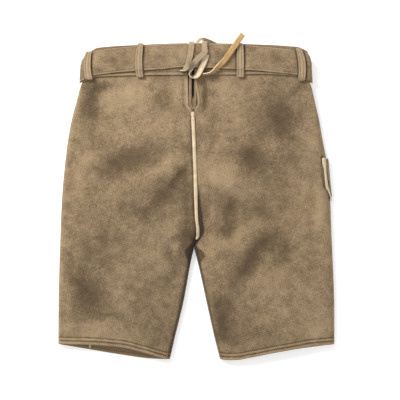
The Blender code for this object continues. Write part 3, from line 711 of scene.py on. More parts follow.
def make_finishes(settings):
    """Every material of the piece, once."""
    suede("suede_panel", tuple(settings.hide_dark), tuple(settings.hide_light))
    suede("suede_inside", (0.09, 0.058, 0.032), (0.30, 0.21, 0.12))
    suede("suede_band_hide", (0.13, 0.090, 0.052), (0.42, 0.305, 0.185), 0.8)
    suede("suede_belt_hide", (0.12, 0.080, 0.044), (0.40, 0.285, 0.165), 0.9)
    smooth_leather("cream_hide", (0.46, 0.345, 0.20), (0.80, 0.665, 0.46), 0.6)
    suede("lace_grain", (0.16, 0.115, 0.07), (0.46, 0.345, 0.215), 0.9)
    smooth_leather("lace_flesh", (0.38, 0.21, 0.075), (0.66, 0.44, 0.20), 0.8)
    suede("lace_pale", (0.34, 0.195, 0.075), (0.86, 0.73, 0.53), 0.45, warm_share=0)
    smooth_leather("lace_edge", (0.62, 0.50, 0.33), (0.90, 0.80, 0.62), 0.8)
    smooth_leather("thread_brown", (0.035, 0.022, 0.013), (0.09, 0.058, 0.034), 0.8, 900)
    smooth_leather("thread_tan", (0.30, 0.22, 0.13), (0.52, 0.40, 0.26), 0.8, 900)
    smooth_leather("dark_horn", (0.03, 0.018, 0.010), (0.13, 0.08, 0.045), 0.35, 200)
    metal_finish()
    floor_finish()


# ---------------------------------------------------------------------------------------
# Pieces
# ---------------------------------------------------------------------------------------
LACES = {
    "lace_over_belt": [(-7.6, 258, 20.6, 0), (-7.6, 276, 20.8, 0), (-7.6, 284, 21.4, 0),
                       (-7.6, 287.2, 25.2, 0), (-7.6, 285.9, 28.9, 0), (-7.6, 281.4, 30.3, 0),
                       (-9.2, 267, 30.2, 0), (-12.8, 251, 30.2, 0), (-15.2, 243.8, 30.9, 0),
                       (-19.4, 238, 31.2, -35), (-23.8, 235.8, 31.2, -72),
                       (-28.2, 235.2, 31.1, -85)],
    "lace_bow": [(15.5, 278, 17.2, 0), (15.5, 284.5, 17.3, 0), (15.5, 287.5, 20, 0),
                 (15.5, 287.8, 24.5, 0), (15.5, 286.2, 28.8, 0), (15.5, 282, 30.5, 0),
                 (15.5, 275, 32.2, 0), (16.2, 268.8, 34.4, 0), (12.6, 263.6, 35.6, 0),
                 (2.5, 254.5, 36.2, 0), (-5.6, 245, 37.4, -8), (-10.2, 236, 37, -50),
                 (-11.8, 229.5, 35, -95), (-8.2, 225, 34, -118), (-2, 224, 33.2, -130),
                 (3.5, 228, 32.4, -152), (9.5, 239.5, 31.2, -170), (15.5, 253, 30.6, -180),
                 (19, 264.5, 30.2, -180)],
    "lace_free_end": [(12.6, 228.4, 30.4, -78), (24, 230.2, 30.9, -78), (31.5, 234.6, 31.4, -66),
                      (38, 240.6, 32.4, -48), (45, 247, 32.6, -28), (52, 254.6, 32.8, -14),
                      (59, 264.6, 33.1, -8), (69.7, 279.6, 33.6, -4), (84, 300.6, 29.6, 0)],
    "lace_top_loop": [(0, 279, 10.5, 45), (2.2, 285.8, 10.6, 55), (4.8, 291.4, 11, 60),
                      (9.8, 294.6, 11.5, 58), (14.6, 293.5, 11.5, 45), (20, 291, 11.2, 35),
                      (28, 287.6, 11, 30), (36, 283.2, 10.6, 30), (44, 278.6, 10.4, 30),
                      (52, 274, 10.2, 30)],
}
LACE_WIDTH, LACE_WALL, LACE_CROWN = 10.0, 1.8, 0.12
# The finish of the face that looks along the frame's normal, and of the one against it.
LACE_FACES = {"lace_over_belt": ("lace_flesh", "lace_grain"),
              "lace_bow": ("lace_pale", "lace_grain"),
              "lace_free_end": ("lace_flesh", "lace_grain"),
              "lace_top_loop": ("lace_grain", "lace_flesh")}


def lace(name):
    """A flat lace along a Catmull-Rom curve, its width turned by the roll about its run. Its
    section is a rectangle with a slight crown, bulging by 0.1 mm at its cut edges."""
    route = smooth_route(LACES[name], 10)
    centre, roll = route[:, :3], np.radians(route[:, 3])
    run = unit(np.gradient(centre, axis=0))
    level = unit(np.cross(run, (0, 0, 1.0)))
    for k in range(1, len(level)):
        if np.dot(level[k], level[k - 1]) < 0:
            level[k] *= -1
    face = np.cross(level, run)
    wide = level * np.cos(roll)[:, None] + face * np.sin(roll)[:, None]
    thick = np.cross(wide, run)
    s = np.linspace(-1, 1, 9)
    crown = LACE_WALL / 2 + LACE_CROWN * (1 - s**2) - LACE_CROWN * s**8
    top = np.stack([s * (LACE_WIDTH / 2 - 0.1), crown], axis=-1)
    low = top[::-1] * (1, -1)
    edge = np.array([[LACE_WIDTH / 2, 0]])
    profile = np.vstack([top, edge, low, -edge])
    wave = 0.25 * uneven(centre[:, 0], centre[:, 1], 6, 11)
    bent = wave[:, None] * (profile[:, 0] / (LACE_WIDTH / 2)) ** 2
    points = (
        centre[:, None, :]
        + wide[:, None, :] * profile[None, :, 0:1]
        + thick[:, None, :] * (profile[None, :, 1:2] + bent[..., None])
    )
    rows = len(centre)
    tone = np.full((rows, 1), 0.12)
    if name == "lace_bow":
        going_down = np.arange(rows) < np.argmin(centre[:, 1])
        tone -= (0.75 * going_down * ease((252 - centre[:, 1]) / 12))[:, None]
    # Painted shade on the top loop's part right of x 10.
    if name == "lace_top_loop":
        tone -= 0.5 * ease((centre[:, 0] - 10) / 6)[:, None]
    thing = tube_piece(name, points, run[0], [*LACE_FACES[name], "lace_edge"], tone)
    face_sides = len(s) - 1
    around = [0] * face_sides + [2] * 2 + [1] * face_sides + [2] * 2
    thing.data.polygons.foreach_set("material_index", around * (rows - 1) + [2, 2])
    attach(thing, "root")
    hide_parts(name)


def nap_and_painted_shade(x, y):
    """The tone from the patches, partly the nap's wear and partly painted shade and highlight: bells
    over an ellipse each.
    """
    tone = 0.0
    for px, py, reach_x, reach_y, amount in NAP_AND_SHADE_PATCHES:
        tone = tone + amount * np.exp(-(((x - px) / reach_x) ** 2) - ((y - py) / reach_y) ** 2)
    return tone


def crotch_painted_shade(side, x, y, away):
    """Painted shade about the crotch, where the leather turns under: the turned-in facets, each with
    a sharp outer edge, the channel along the right of the seat seam's foot and the dip on its left;
    low on the right, a lighter strip along the inner edge."""
    reach = along(CROTCH_SHADE_FACETS[side], y)
    soft = 2.2 + 5 * ease((-92 - y) / 8) * (side == "right")
    tone = -0.62 * ease((reach - away) / soft + 0.5) * ease((-66 - y) / 6) * ease((y + 290) / 60)
    if side == "left":
        tone = tone - 0.22 * bump(away, 7) * ease((-90 - y) / 30)
        dip_x, dip_y, reach_x, reach_y = CROTCH_SHADE_DIP
        return tone - 0.5 * bump(np.hypot((x - dip_x) / reach_x, (y - dip_y) / reach_y), 1)
    channel = ease((along(SEAM_FOOT_SHADE, y) - x) / 3 + 0.3) * ease((46 - y) / 60) * ease((y + 84) / 8)
    return tone - 0.85 * channel + 0.3 * bump(away, 3) * ease((-125 - y) / 20)


NEAR_HEM = 0.972


def hem_rows(last, near):
    """Rows from the waist, 0, to the hem, 1, closer together near the hem."""
    return np.concatenate([
        np.linspace(0, NEAR_HEM, last, endpoint=False), np.linspace(NEAR_HEM, 1, near)])


def back_panel(side, settings):
    """The back of one side: crown, folds, creases, and grooves where it is stitched."""
    steps = settings.panel_columns
    plan = panel_plan(side, hem_rows(2 * steps, 20), steps, BACK_SEAM, SLIT_AWAY[side],
                      WAIST_BACK, HEM_BACK, BACK_HEIGHTS, 4)
    x, y, down, outer, inside = plan
    detail = back_detail(side, *plan) * settings.wear
    detail *= ease((down + 0.02 - WAIST_END) / 0.03)
    grid = np.stack([x, y, back_height(*plan) + detail], axis=-1)
    hem = y - along(HEM_BACK, x)
    # Painted shade in the creases' troughs and painted highlight on their ridges, with the hem's
    # painted shade and highlight, over the patches.
    tone = nap_and_painted_shade(x, y) + 0.10 * crease_height(x, y) + bells(hem, HEM_SHADE_AND_HIGHLIGHT)
    away = np.abs(x - inside)
    # Painted shade in the seat seam's groove.
    tone -= 0.45 * ease((SEAM_TOP - y) / 10) * bump(away - 3.2, 1.6)
    # Lighter along the slit's turned edges, and painted shade in its stitch groove.
    tone += ease((y - SLIT_FOOT) / 8) * bells(away, [(2, 3, 0.3), (SLIT_ROW[side], 0.9, -0.12)])
    # Painted sheen along the outer fold, and the painted shade about the crotch.
    tone += 0.10 * bump(np.abs(x - outer), 5) + crotch_painted_shade(side, x, y, away)
    if side == "right":
        # Painted shadow along the pocket piping.
        tone -= 0.8 * bump(x - along(POCKET_EDGE, y), 1.2) * ease(y / 6) * ease((88 - y) / 6)
    thing = sheet_piece(f"back_{side}", grid, PANEL_WALL, "suede_panel", side == "right", tone)
    laid_sheet(thing, "suede", grid, [f"front_{side}"], f"back_{side}")


def front_panel(side, settings):
    """The front of one side, plain. Its inner face is painted lighter near the hem, against the shade
    that falls there under the back, and lighter still at the hem's edge; a painted shadow lies just
    under the edge of the back."""
    steps = settings.panel_columns // 2
    plan = panel_plan(side, hem_rows(2 * steps, 8), steps, FRONT_SEAM, FLAP_AWAY, WAIST_FRONT,
                      HEM_FRONT, FRONT_HEIGHTS, 2)
    x, y = plan[:2]
    grid = np.stack([x, y, front_height(*plan)], axis=-1)
    hem = y - along(HEM_FRONT, x)
    # Painted light near the hem, against the shade there, over the mirrored patches.
    tone = 0.7 * nap_and_painted_shade(-x, y) - 0.12 + 0.25 * bump(hem, 2.0) + 1.0 * ease((18 - hem) / 6)
    # Painted shadow just under the back's hem edge.
    tone -= 0.45 * bump(y - along(HEM_BACK, x) - 0.5, 1.6)
    thing = sheet_piece(f"front_{side}", grid, PANEL_WALL, "suede_inside", side == "left", tone)
    laid_sheet(thing, "suede", grid, ["floor"], f"front_{side}")


def front_flap():
    """The drop flap between the front panels, narrowing to a blunt point at its foot."""
    y = np.linspace(FLAP_TOP, FLAP_FOOT + 2, 60)[:, None]
    slope = math.hypot(FLAP_HALF, FLAP_BEND - FLAP_FOOT) / (FLAP_BEND - FLAP_FOOT)
    pointed = FLAP_HALF * (y - FLAP_FOOT) / (FLAP_BEND - FLAP_FOOT) - 1.5 * GAP * slope
    half = np.minimum(FLAP_HALF - GAP / 2, pointed)
    x = half * np.linspace(-1, 1, 41)[None, :]
    y = np.broadcast_to(y, x.shape)
    down = (along(WAIST_FRONT, x) - y) / (along(WAIST_FRONT, x) - along(HEM_FRONT, x))
    grid = np.stack([x, y, along(FRONT_HEIGHTS, down, 1)], axis=-1)
    thing = sheet_piece("front_flap", grid, PANEL_WALL, "suede_inside", True)
    laid_sheet(thing, "suede", grid, ["floor"], "front_flap")


def ring_path(offset, back_from, front_to, sign, stations, turns=14):
    """Half of the waist ring at an offset out from the panels, from the middle of the back
    round one side to the middle of the front: x, z, and how far each point looks up."""
    centre = WAIST_HALF - WAIST_TURN
    radius = WAIST_TURN + offset
    across = np.linspace(0, 1, stations)
    angle = np.radians(np.linspace(90, -90, turns * 2 + 1)[1:-1])
    back = back_from + (centre - back_from) * across
    front = front_to + (centre - front_to) * across[::-1]
    x = np.concatenate([back, centre + radius * np.cos(angle), front])
    up = np.concatenate([0 * back + 1, np.sin(angle), 0 * front - 1])
    out = np.concatenate([0 * back, np.cos(angle), 0 * front])
    crown = WAIST_CROWN * (1 - np.clip(x / WAIST_HALF, -1, 1) ** 2)
    z = WAIST_MID + radius * up + crown * np.maximum(up, 0)
    return sign * x, z, up, sign * out


def edge_of_ring(x, up, back, front):
    """A height along Y on the ring, from the back's table to the front's round the turn."""
    share = ease((1 - up) / 2)
    flat = np.clip(x, -203, 203)
    return along(back, flat) * (1 - share) + along(front, flat) * share


def end_drop(x, up):
    """How far the waist's upper edge comes down round its turn at each side."""
    back = ease((1 + up) / 0.55)
    early = np.where(x < 0, 5.0, -3.5) * ease((np.abs(x) - 176) / 24)
    turn = np.where(x < 0, 10.5 * ease((1 - up) / 0.45), 15 * ease((1 - up) / 0.6))
    return (early + turn) * back


def belt_give(x, up, share):
    """What the belt's edges add to its width, at a share from -1 to 1 across: the upper one
    comes down round each turn; the lower one flares there and lifts beside the laces."""
    lifted = (1.6 * bump(x + 24, 26) - 0.5 * bump(x + 100, 36)) * (up > 0.5)
    low = np.maximum(-share, 0) * (lifted - 6.5 * bump(up, 0.7))
    return low - np.maximum(share, 0) * end_drop(x, up)


def edge_round(distance, radius):
    """How far a surface drops towards its edge: a quarter circle over the radius."""
    inset = 1 - np.clip(distance / radius, 0, 1)
    return radius * (1 - np.sqrt(1 - np.minimum(inset, 0.98) ** 2))


def raised_ring(x, z, up, out, y, lift):
    """A grid on the ring: each column's points moved out along its normal by the lift."""
    return np.stack([x[None] + out[None] * lift, y, z[None] + up[None] * lift], axis=-1)


BAND_START = {"left": 15.0, "right": -2.0}  # where each begins, on the way out from the slit
BAND_RIDGE = 9  # how high the closely spaced rows go
BAND_ROW = 2.5  # its stitches, up from its foot
BAND_RELIEF = [(1.3, 0.8, 0.4), (3.7, 0.8, 0.35), (5.2, 0.7, -0.45)]
# Painted highlight on the band's ridges and painted shade in its grooves: place up from the foot,
# width and tone.
BAND_SHADE_AND_HIGHLIGHT = [(1.2, 0.8, 0.14), (3.7, 0.8, 0.10), (2.4, 0.5, -0.15), (5.2, 0.8, -0.22)]


def waistband(side):
    """The band under the belt, its foot a turned ridge with a groove above; its tone is painted
    highlight on the ridges, painted shade in the grooves and painted shadow under the belt.
    """
    x, z, up, out = ring_path(BAND_OFFSET, BAND_START[side], GAP / 2, SIDES[side], 70)
    top = edge_of_ring(x, up, WAIST_BACK, WAIST_FRONT) + 0.6 - end_drop(x, up)
    foot = edge_of_ring(x, up, BAND_FOOT_BACK, BAND_FOOT_FRONT)
    near = foot + np.linspace(0, BAND_RIDGE, 28)[:, None]
    left = top - 0.5 - foot - BAND_RIDGE
    far = foot + BAND_RIDGE + left * np.linspace(0, 1, 13)[1:, None]
    y = np.vstack([near, far, top[None]])[::-1]
    high = y - foot[None]
    lift = bells(high, BAND_RELIEF) - edge_round(high, 1.0) - 0.8 * edge_round(top[None] - y, 0.8)
    lift += 0.1 * uneven(x[None], y, 9, 21)
    grid = raised_ring(x, z, up, out, y, lift)
    # Painted shade and highlight on the ridges and grooves, and painted shadow under the belt from 4
    # mm up.
    tone = bells(high, BAND_SHADE_AND_HIGHLIGHT) - 0.16 * ease((high - 4) / 1.5)
    thing = sheet_piece(f"waistband_{side}", grid, BAND_WALL, "suede_band_hide", side == "left", tone)
    laid_sheet(thing, "suede_band", grid, [f"back_{side}", f"front_{side}"], f"waistband_{side}")


BELT_WIDTH = 43.0
BELT_ROW = 2.7  # its stitches, in from each edge
BELT_RELIEF = [(BELT_ROW, 0.7, -0.45), (1.2, 0.8, 0.18)]


def belt_ring(stations=90):
    """The belt's whole ring: x, z, the two parts of its normal, and the y of its middle."""
    right = ring_path(BELT_OFFSET, 0, 0, 1, stations)
    left = ring_path(BELT_OFFSET, 0, 0, -1, stations)
    x, z, up, out = (np.concatenate([a, b[-2:0:-1]]) for a, b in zip(right, left))
    middle = edge_of_ring(x, up, BELT_MID_BACK, BELT_MID_FRONT)
    return x, z, up, out, middle


def belt():
    """One closed strap: its edges rounded, a groove inside each, and its edges slightly wavy."""
    x, z, up, out, middle = belt_ring()
    half = BELT_WIDTH / 2
    near = np.concatenate([[0, 0.15, 0.4, 0.8, 1.3], np.linspace(1.8, 4.2, 9), [5.5, 8, 12, 16]])
    s = np.concatenate([half - near, [0], -(half - near)[::-1]])
    wave = 0.35 * uneven(x, z, 24, 31) + 0.2 * uneven(x, z, 9, 32)
    y = middle[None] + s[:, None] + wave[None] * (s[:, None] / half) ** 3
    y = y + belt_give(x[None], up[None], s[:, None] / half)
    flare = 1.8 * bump(up, 0.7)[None] * np.maximum(-s[:, None], 0) / half
    inset = (half - np.abs(s))[:, None]
    lift = bells(inset, BELT_RELIEF) - edge_round(inset, 1.2)
    lift = lift + 0.12 * uneven(x[None], y, 14, 33) * ease(inset / 4) + flare
    grid = raised_ring(x, z, up, out, y, lift)
    tone = (0.18 + 0.14 * (s[:, None] < 0)) * bump(inset - 0.8, 1.5)
    # Painted shade in the stitch grooves.
    tone = tone - 0.26 * bump(inset - BELT_ROW, 0.7)
    tone = tone + 0.16 * uneven(x[None], y, 30, 34) + 0.12 * uneven(x[None], 3 * y, 16, 35)
    # Painted shadow of each back loop on the belt beside it: right of every loop, and left of the
    # right ones too.
    for loop in LOOPS.values():
        beside = x[None] - loop_middle(y, *loop)
        shade = bump(beside - LOOP_WIDTH / 2 - 0.8, 1.7)
        shade = shade + (loop[0] > 0) * bump(beside + LOOP_WIDTH / 2 + 0.5, 1.2)
        tone = tone - 0.85 * shade * (up[None] > 0.5)
    thing = sheet_piece("belt", grid, BELT_WALL, "suede_belt_hide", False, tone, tube=True)
    strap_sheet(thing,
                "belt")


LOOPS = {  # x at the top, x at the foot, y at the top, y at the foot, sideways bow
    "loop_back_outer_left": (-191.6, -191.4, 270.5, 219, -4.2),
    "loop_back_inner_left": (-99, -100.5, 285, 223.5, -3.2),
    "loop_back_inner_right": (79.5, 79.5, 285, 223.5, 0),
    "loop_back_outer_right": (183.4, 189, 277.6, 217.5, 4.2),
}
FRONT_LOOPS = {"loop_front_left": -95, "loop_front_right": 95}
FRONT_LOOP_HALF = 28
LOOP_WIDTH = 13.6
LOOP_ROWS = (-2.7, 2.7)


def ring_top(x, offset):
    """Height of the back of the waist ring's outer face at an offset."""
    return WAIST_MID + WAIST_TURN + offset + WAIST_CROWN * (1 - (x / WAIST_HALF) ** 2)


def loop_middle(y, x_top, x_foot, y_top, y_foot, bow):
    """A loop's middle line across: straight from top to foot, and a parabola's bow."""
    part = (y_top - y) / (y_top - y_foot)
    return x_top + (x_foot - x_top) * part + 4 * bow * part * (1 - part)


LOOP_CLEAR = GAP + 0.2 + LOOP_WALL  # from a face under a loop to the loop's own outer face


def loop_route(x_top, x_foot, y_top, y_foot, bow):
    """A back loop's middle line: x, y and offset from the waist ring, over the belt."""
    low, high = BAND_OFFSET + LOOP_CLEAR, BELT_OFFSET + LOOP_CLEAR
    sides = np.array([x_top, x_foot]) + np.array([[-0.5], [0.5]]) * LOOP_WIDTH
    middles = along(BELT_MID_BACK, np.clip(sides, -203, 203))
    belt_top, belt_foot = middles.max() + BELT_WIDTH / 2, middles.min() - BELT_WIDTH / 2
    raised = [(y_foot, 0), (belt_foot - 2.2, 0.6), (belt_foot + 1, 1), (belt_top - 1.5, 1),
              (min(belt_top + 1.2, y_top - 0.8), 0.9), (y_top, 0.55)]
    y = np.linspace(y_top, y_foot, 64)
    x = loop_middle(y, x_top, x_foot, y_top, y_foot, bow)
    return x, y, low + (high - low) * along(raised, y)


def loop_surface(s, y_top, y_foot, y):
    """A loop's relief at s, from -1 to 1 across: two grooves, three ridges, rounded edges and
    ends. Returns how far it drops, and how wide it is at each y."""
    ends = np.minimum(y_top - y, y - y_foot)
    wide = np.sqrt(np.clip(1 - (1 - np.clip(ends / 3.0, 0, 1)) ** 2 * 0.75, 0, 1))
    across = s[None] * LOOP_WIDTH / 2
    lift = -edge_round(LOOP_WIDTH / 2 - np.abs(across), 0.9) - edge_round(ends[:, None], 0.8)
    for row in LOOP_ROWS:
        lift = lift - 0.65 * bump(across - row, 0.62)
    return lift + 0.2 * bump(across, 1.4), wide


def back_loop(name):
    """A loop over the belt, set down on the band at both ends."""
    y_top, y_foot = LOOPS[name][2:4]
    x, y, offset = loop_route(*LOOPS[name])
    s = np.linspace(-1, 1, 41)
    lift, wide = loop_surface(s, y_top, y_foot, y)
    wide = wide * (1.04 - 0.22 * ease((y - y_top + 22) / 20))
    px = x[:, None] + s[None] * wide[:, None] * LOOP_WIDTH / 2
    z = ring_top(px, offset[:, None]) + lift
    grid = np.stack([px, np.broadcast_to(y[:, None], px.shape), z], axis=-1)
    # Painted shade in the grooves and over the rounded edges, following the relief, and along both
    # sides.
    tone = 0.22 + 0.5 * lift - 0.5 * bump(np.abs(s[None]) - 1, 0.14) + 0 * px
    thing = sheet_piece(name, grid, LOOP_WALL, "suede_band_hide", False, tone)
    strap_sheet(thing, name)
    for k, row in enumerate(LOOP_ROWS):
        line = np.stack([x + row, y, ring_top(x + row, offset) - 0.55], axis=-1)[4:-4]
        stitches(f"{name}_thread_{k + 1}", [(line, flat_up(line))], "loop")


def front_loop(name):
    """A loop under the front, flat against the floor."""
    middle = float(along(BELT_MID_FRONT, FRONT_LOOPS[name]))
    top, foot = middle + FRONT_LOOP_HALF, middle - FRONT_LOOP_HALF
    y = np.linspace(top, foot, 40)
    s = np.linspace(-1, 1, 31)
    lift, wide = loop_surface(s, top, foot, y)
    px = FRONT_LOOPS[name] + s[None] * wide[:, None] * LOOP_WIDTH / 2
    rest = 1.4 * ease((np.abs(y - middle) - 22) / 6)
    grid = np.stack([px, np.broadcast_to(y[:, None], px.shape), rest[:, None] - lift * 0.6], axis=-1)
    grid[..., 2] -= grid[..., 2].min()
    # The tone is painted shade in the grooves and over the rounded edges, following the relief.
    thing = sheet_piece(name, grid, LOOP_WALL, "suede_band_hide", True, 0.25 + 0.45 * lift + 0 * px)
    strap_sheet(thing, name)


WELT = [(162, -5.8), (120, -4.0), (50, -1.2), (-28, 1.0), (-50, 3.4), (-60, 3.6), (-67, 0.6)]
WELT_WIDTH, WELT_THICK = 7.0, 2.9
WELT_HEAD, WELT_FOOT = 162, -67
WELT_FOLD = (8.8, 0.9)  # a fold across it: its distance from the head, and its width


def crown_at(x, y):
    """The back's smooth height near the middle, without its detail."""
    down = (along(WAIST_BACK, x) - y) / (along(WAIST_BACK, x) - along(HEM_BACK, x))
    side = np.where(x < along(BACK_SEAM, y), 0, 1)
    outer = np.where(side == 0, along(SIDE["left"], y), along(SIDE["right"], y))
    inside = np.where(side == 0, inner_edge("left", BACK_SEAM, SLIT_AWAY["left"], y),
                      inner_edge("right", BACK_SEAM, SLIT_AWAY["right"], y))
    return back_height(x, y, down, outer, inside)


def centre_welt():
    """The cream welt in the seat seam: a domed strip with a rounded head and a cross fold."""
    y = np.linspace(WELT_HEAD, WELT_FOOT, 300)
    line = respaced(np.stack([along(WELT[::-1], y), y, 0 * y], axis=-1), 1.2)
    x, y = line[:, 0], line[:, 1]
    level = np.maximum(crown_at(x - 2.5, y), crown_at(x + 2.5, y))
    path = np.stack([x, y, level - 0.9 + 0.15 * uneven(y, y, 12, 41)], axis=-1)
    run = unit(np.gradient(path, axis=0))
    across = unit(np.cross(run, (0, 0, 1.0)))
    outward = np.cross(across, run)
    from_head = WELT_HEAD - y
    fold = bump(from_head - WELT_FOLD[0], WELT_FOLD[1])
    size = np.sqrt(1 - (1 - np.clip(from_head / 3.2, 0.05, 1)) ** 2)
    size = size * (0.96 + 0.05 * uneven(y, y, 15, 42)) * (0.6 + 0.4 * ease((y - WELT_FOOT) / 4))
    size = size * (1 - 0.14 * ease((20 - y) / 60)) * (1 - 0.2 * fold)
    path -= outward * 1.9 * fold[:, None]
    profile = round_profile(WELT_WIDTH, WELT_THICK)
    thing = carried("centre_back_welt", path, across, outward, profile, "cream_hide", size)
    trim(thing, "centre_back_welt")


# The strips' courses down the right side fold: y, the turn round the fold and the width, both
# in degrees.
POCKET_PIPING = [(80, 68, 42), (70, 68, 42), (60, 66, 26), (38, 64, 28), (27, 62, 30), (15, 34, 30),
                 (2, 12, 16)]
POCKET_LIP = [(79, 28, 44), (50, 26, 40), (27, 20, 36), (10, 10, 22)]
# Each strip's course, its lift off the fold, its dome, its finish and its slot.
POCKET_STRIPS = {
    "pocket_lip": (POCKET_LIP, 3.4, 0.5, "suede_panel", "suede"),
    "pocket_piping": (POCKET_PIPING, 2.0, 0.9, "cream_hide", "cream_leather"),
}
# The shadow along the piping: y, and x.
POCKET_EDGE = [(2, 242), (6.5, 241.3), (14, 240), (23.6, 235), (27.5, 230.8), (33, 229.9),
               (52, 227.6), (71, 226.4), (84, 227.5)]


def fold_strip(name):
    """A strip on the right side fold: points of the fold's quarter ellipse, moved out along
    its normal by the lift and a dome, with rounded ends."""
    table, lift, dome, finish, slot = POCKET_STRIPS[name]
    y = np.linspace(table[0][0], table[-1][0], 60)
    middle, width = (along(table[::-1], y, k) for k in (1, 2))
    ends = np.minimum(table[0][0] - y, y - table[-1][0])
    width = width * np.sqrt(1 - (1 - np.clip(ends / 4, 0.02, 1)) ** 2)
    s = np.linspace(0.5, -0.5, 13)[None]
    turn = np.radians(np.clip(middle[:, None] + s * width[:, None], 2, 88))
    y = np.broadcast_to(y[:, None], turn.shape)
    outer = along(SIDE["right"], y)
    down = (along(WAIST_BACK, outer) - y) / (along(WAIST_BACK, outer) - along(HEM_BACK, outer))
    crown, shoulder, reach, fold, seam = (along(BACK_HEIGHTS, down, k) for k in range(1, 6))
    rise = shoulder - seam
    away = fold * (1 - np.cos(turn))
    z = seam + rise * np.sin(turn) + (crown - shoulder) * (1 - (1 - away / reach) ** 2)
    normal = unit(np.stack([np.cos(turn) / fold, np.sin(turn) / rise], axis=-1))
    out = lift + dome * (1 - 4 * s**2)
    grid = np.stack([outer - away + normal[..., 0] * out, y, z + normal[..., 1] * out], axis=-1)
    thing = sheet_piece(name, grid, TRIM_WALL, finish)
    trim(thing, name)


GUSSET = [(-30, 0), (-16, 0), (-8.5, -4.2), (0, 0), (20, 0)]  # x, and depth of its fold
GUSSET_ENDS = (276, 152)
GUSSET_WALL = 1.4
BACK_TOP, BACK_LENGTH = 285, 567  # at the middle, where the gusset lies
GUSSET_LIPS = [(-10.2, 262, 0), (-10.2, 226, 0), (-10.2, 205, 0), (-10.2, 186, 0),
               (-10, 175, -0.1), (-6.6, 168, -0.3), (-2.2, 170, -0.1), (-0.9, 180, 0),
               (-0.9, 200, 0), (-0.9, 226, 0), (-0.9, 262, 0)]
LIPS_WIDTH, LIPS_THICK = 4.2, 2.3


def slit_gusset():
    """The folded gore behind the slit, and its two rolled lips, which meet at its foot."""
    x = np.linspace(GUSSET[0][0], GUSSET[-1][0], 41)[None]
    y = np.linspace(*GUSSET_ENDS, 60)[:, None]
    crown = along(BACK_HEIGHTS, (BACK_TOP - y) / BACK_LENGTH, 1)
    closing = ease((y - 182) / 14)
    under = crown - WAIST_CROWN * (x / WAIST_HALF) ** 2 - PANEL_WALL
    z = under - 2 * GAP + along(GUSSET, x) * closing
    grid = np.stack([np.broadcast_to(x, z.shape), np.broadcast_to(y, z.shape), z], axis=-1)
    # Painted shade: dark deep in the slit above y 184, lighter towards the sides.
    tone = 0.1 - 1.3 * ease((y - 184) / 12) + 0.2 * (x / 20) ** 2
    thing = sheet_piece("slit_gusset", grid, GUSSET_WALL, "suede_inside", False, tone)
    laid_sheet(thing, "suede", grid, ["front_flap"], "slit_gusset")
    route = smooth_route(GUSSET_LIPS, 8)
    crown = along(BACK_HEIGHTS, (BACK_TOP - route[:, 1]) / BACK_LENGTH, 1)
    path = np.stack([route[:, 0], route[:, 1], crown - LIPS_THICK + route[:, 2]], axis=-1)
    run = unit(np.gradient(path, axis=0))
    across = unit(np.cross(run, (0, 0, 1.0)))
    size = 1.32 - 0.32 * ease((np.linspace(0, 1, len(path)) - 0.42) / 0.12)
    lips = carried("slit_lips", path, across, np.cross(across, run),
                   round_profile(LIPS_WIDTH, LIPS_THICK), "suede_band_hide", size, -0.05)
    trim(lips, "slit_gusset")


TAB_X, TAB_HALF, TAB_ENDS = -192.6, 2, (-252, -265)


def hem_tab():
    """The end of a front seam's welt, past the left back hem, on the front's inner face."""
    x = TAB_X + np.linspace(-TAB_HALF, TAB_HALF, 13)[None]
    y = np.linspace(*TAB_ENDS, 20)[:, None]
    z = PANEL_WALL + GAP + TRIM_WALL - 0.05 * (x - TAB_X) ** 2 + 0 * y
    grid = np.stack([np.broadcast_to(x, z.shape), np.broadcast_to(y, z.shape), z], axis=-1)
    thing = sheet_piece("hem_welt_end", grid, TRIM_WALL, "cream_hide")
    trim(thing, "hem_welt_end")


def hem_stitches():
    """Two rows of dark thread round the back hems, and one inside the left front hem."""
    lines = []
    for side, (start, end) in {"left": (-242, -55), "right": (47, 243)}.items():
        x = np.linspace(start, end, 240)
        for row in HEM_ROWS:
            y = along(HEM_BACK, x) + row
            line = np.stack([x, y, back_at(side, x, y) + 0.12], axis=-1)
            lines.append((line, flat_up(line)))
    stitches("hem_thread", lines, "hem")
    x = np.linspace(-240, -56, 160)
    y = along(HEM_FRONT, x) + FRONT_HEM_ROW
    line = np.stack([x, y, np.full(len(x), PANEL_WALL + 0.1)], axis=-1)
    stitches("front_hem_thread", [(line, flat_up(line))], "front_hem")


def belt_stitches():
    """A row of thread inside each of the belt's edges, all round."""
    x, z, up, out, middle = belt_ring(120)
    close = [np.append(part, part[:1]) for part in (x, z, up, out, middle)]
    lines = []
    for edge in (1, -1):
        share = edge * (1 - 2 * BELT_ROW / BELT_WIDTH)
        y = close[4] + share * BELT_WIDTH / 2 + belt_give(close[0], close[2], share)
        normal = np.stack([close[3], 0 * y, close[2]], axis=-1)
        line = np.stack([close[0], y, close[1]], axis=-1) - 0.35 * normal
        lines.append((line, normal))
    stitches("belt_thread", lines, "belt")


def band_stitches():
    """The row of close thread on the ridge along the band's foot."""
    lines = []
    for side, sign in SIDES.items():
        x, z, up, out = ring_path(BAND_OFFSET, BAND_START[side], GAP / 2, sign, 90)
        foot = edge_of_ring(x, up, BAND_FOOT_BACK, BAND_FOOT_FRONT)
        normal = np.stack([out, 0 * out, up], axis=-1)
        line = np.stack([x, foot + BAND_ROW, z], axis=-1) + 0.05 * normal
        lines.append((line, normal))
    stitches("band_thread", lines, "band")


def slit_stitches():
    """A row of thread beside each edge of the slit."""
    lines = []
    for side, sign in SIDES.items():
        y = np.linspace(219, 168, 60)
        x = inner_edge(side, BACK_SEAM, SLIT_AWAY[side], y) + sign * SLIT_ROW[side]
        line = np.stack([x, y, back_at(side, x, y) + 0.15], axis=-1)
        lines.append((line, flat_up(line)))
    stitches("slit_thread", lines, "slit")


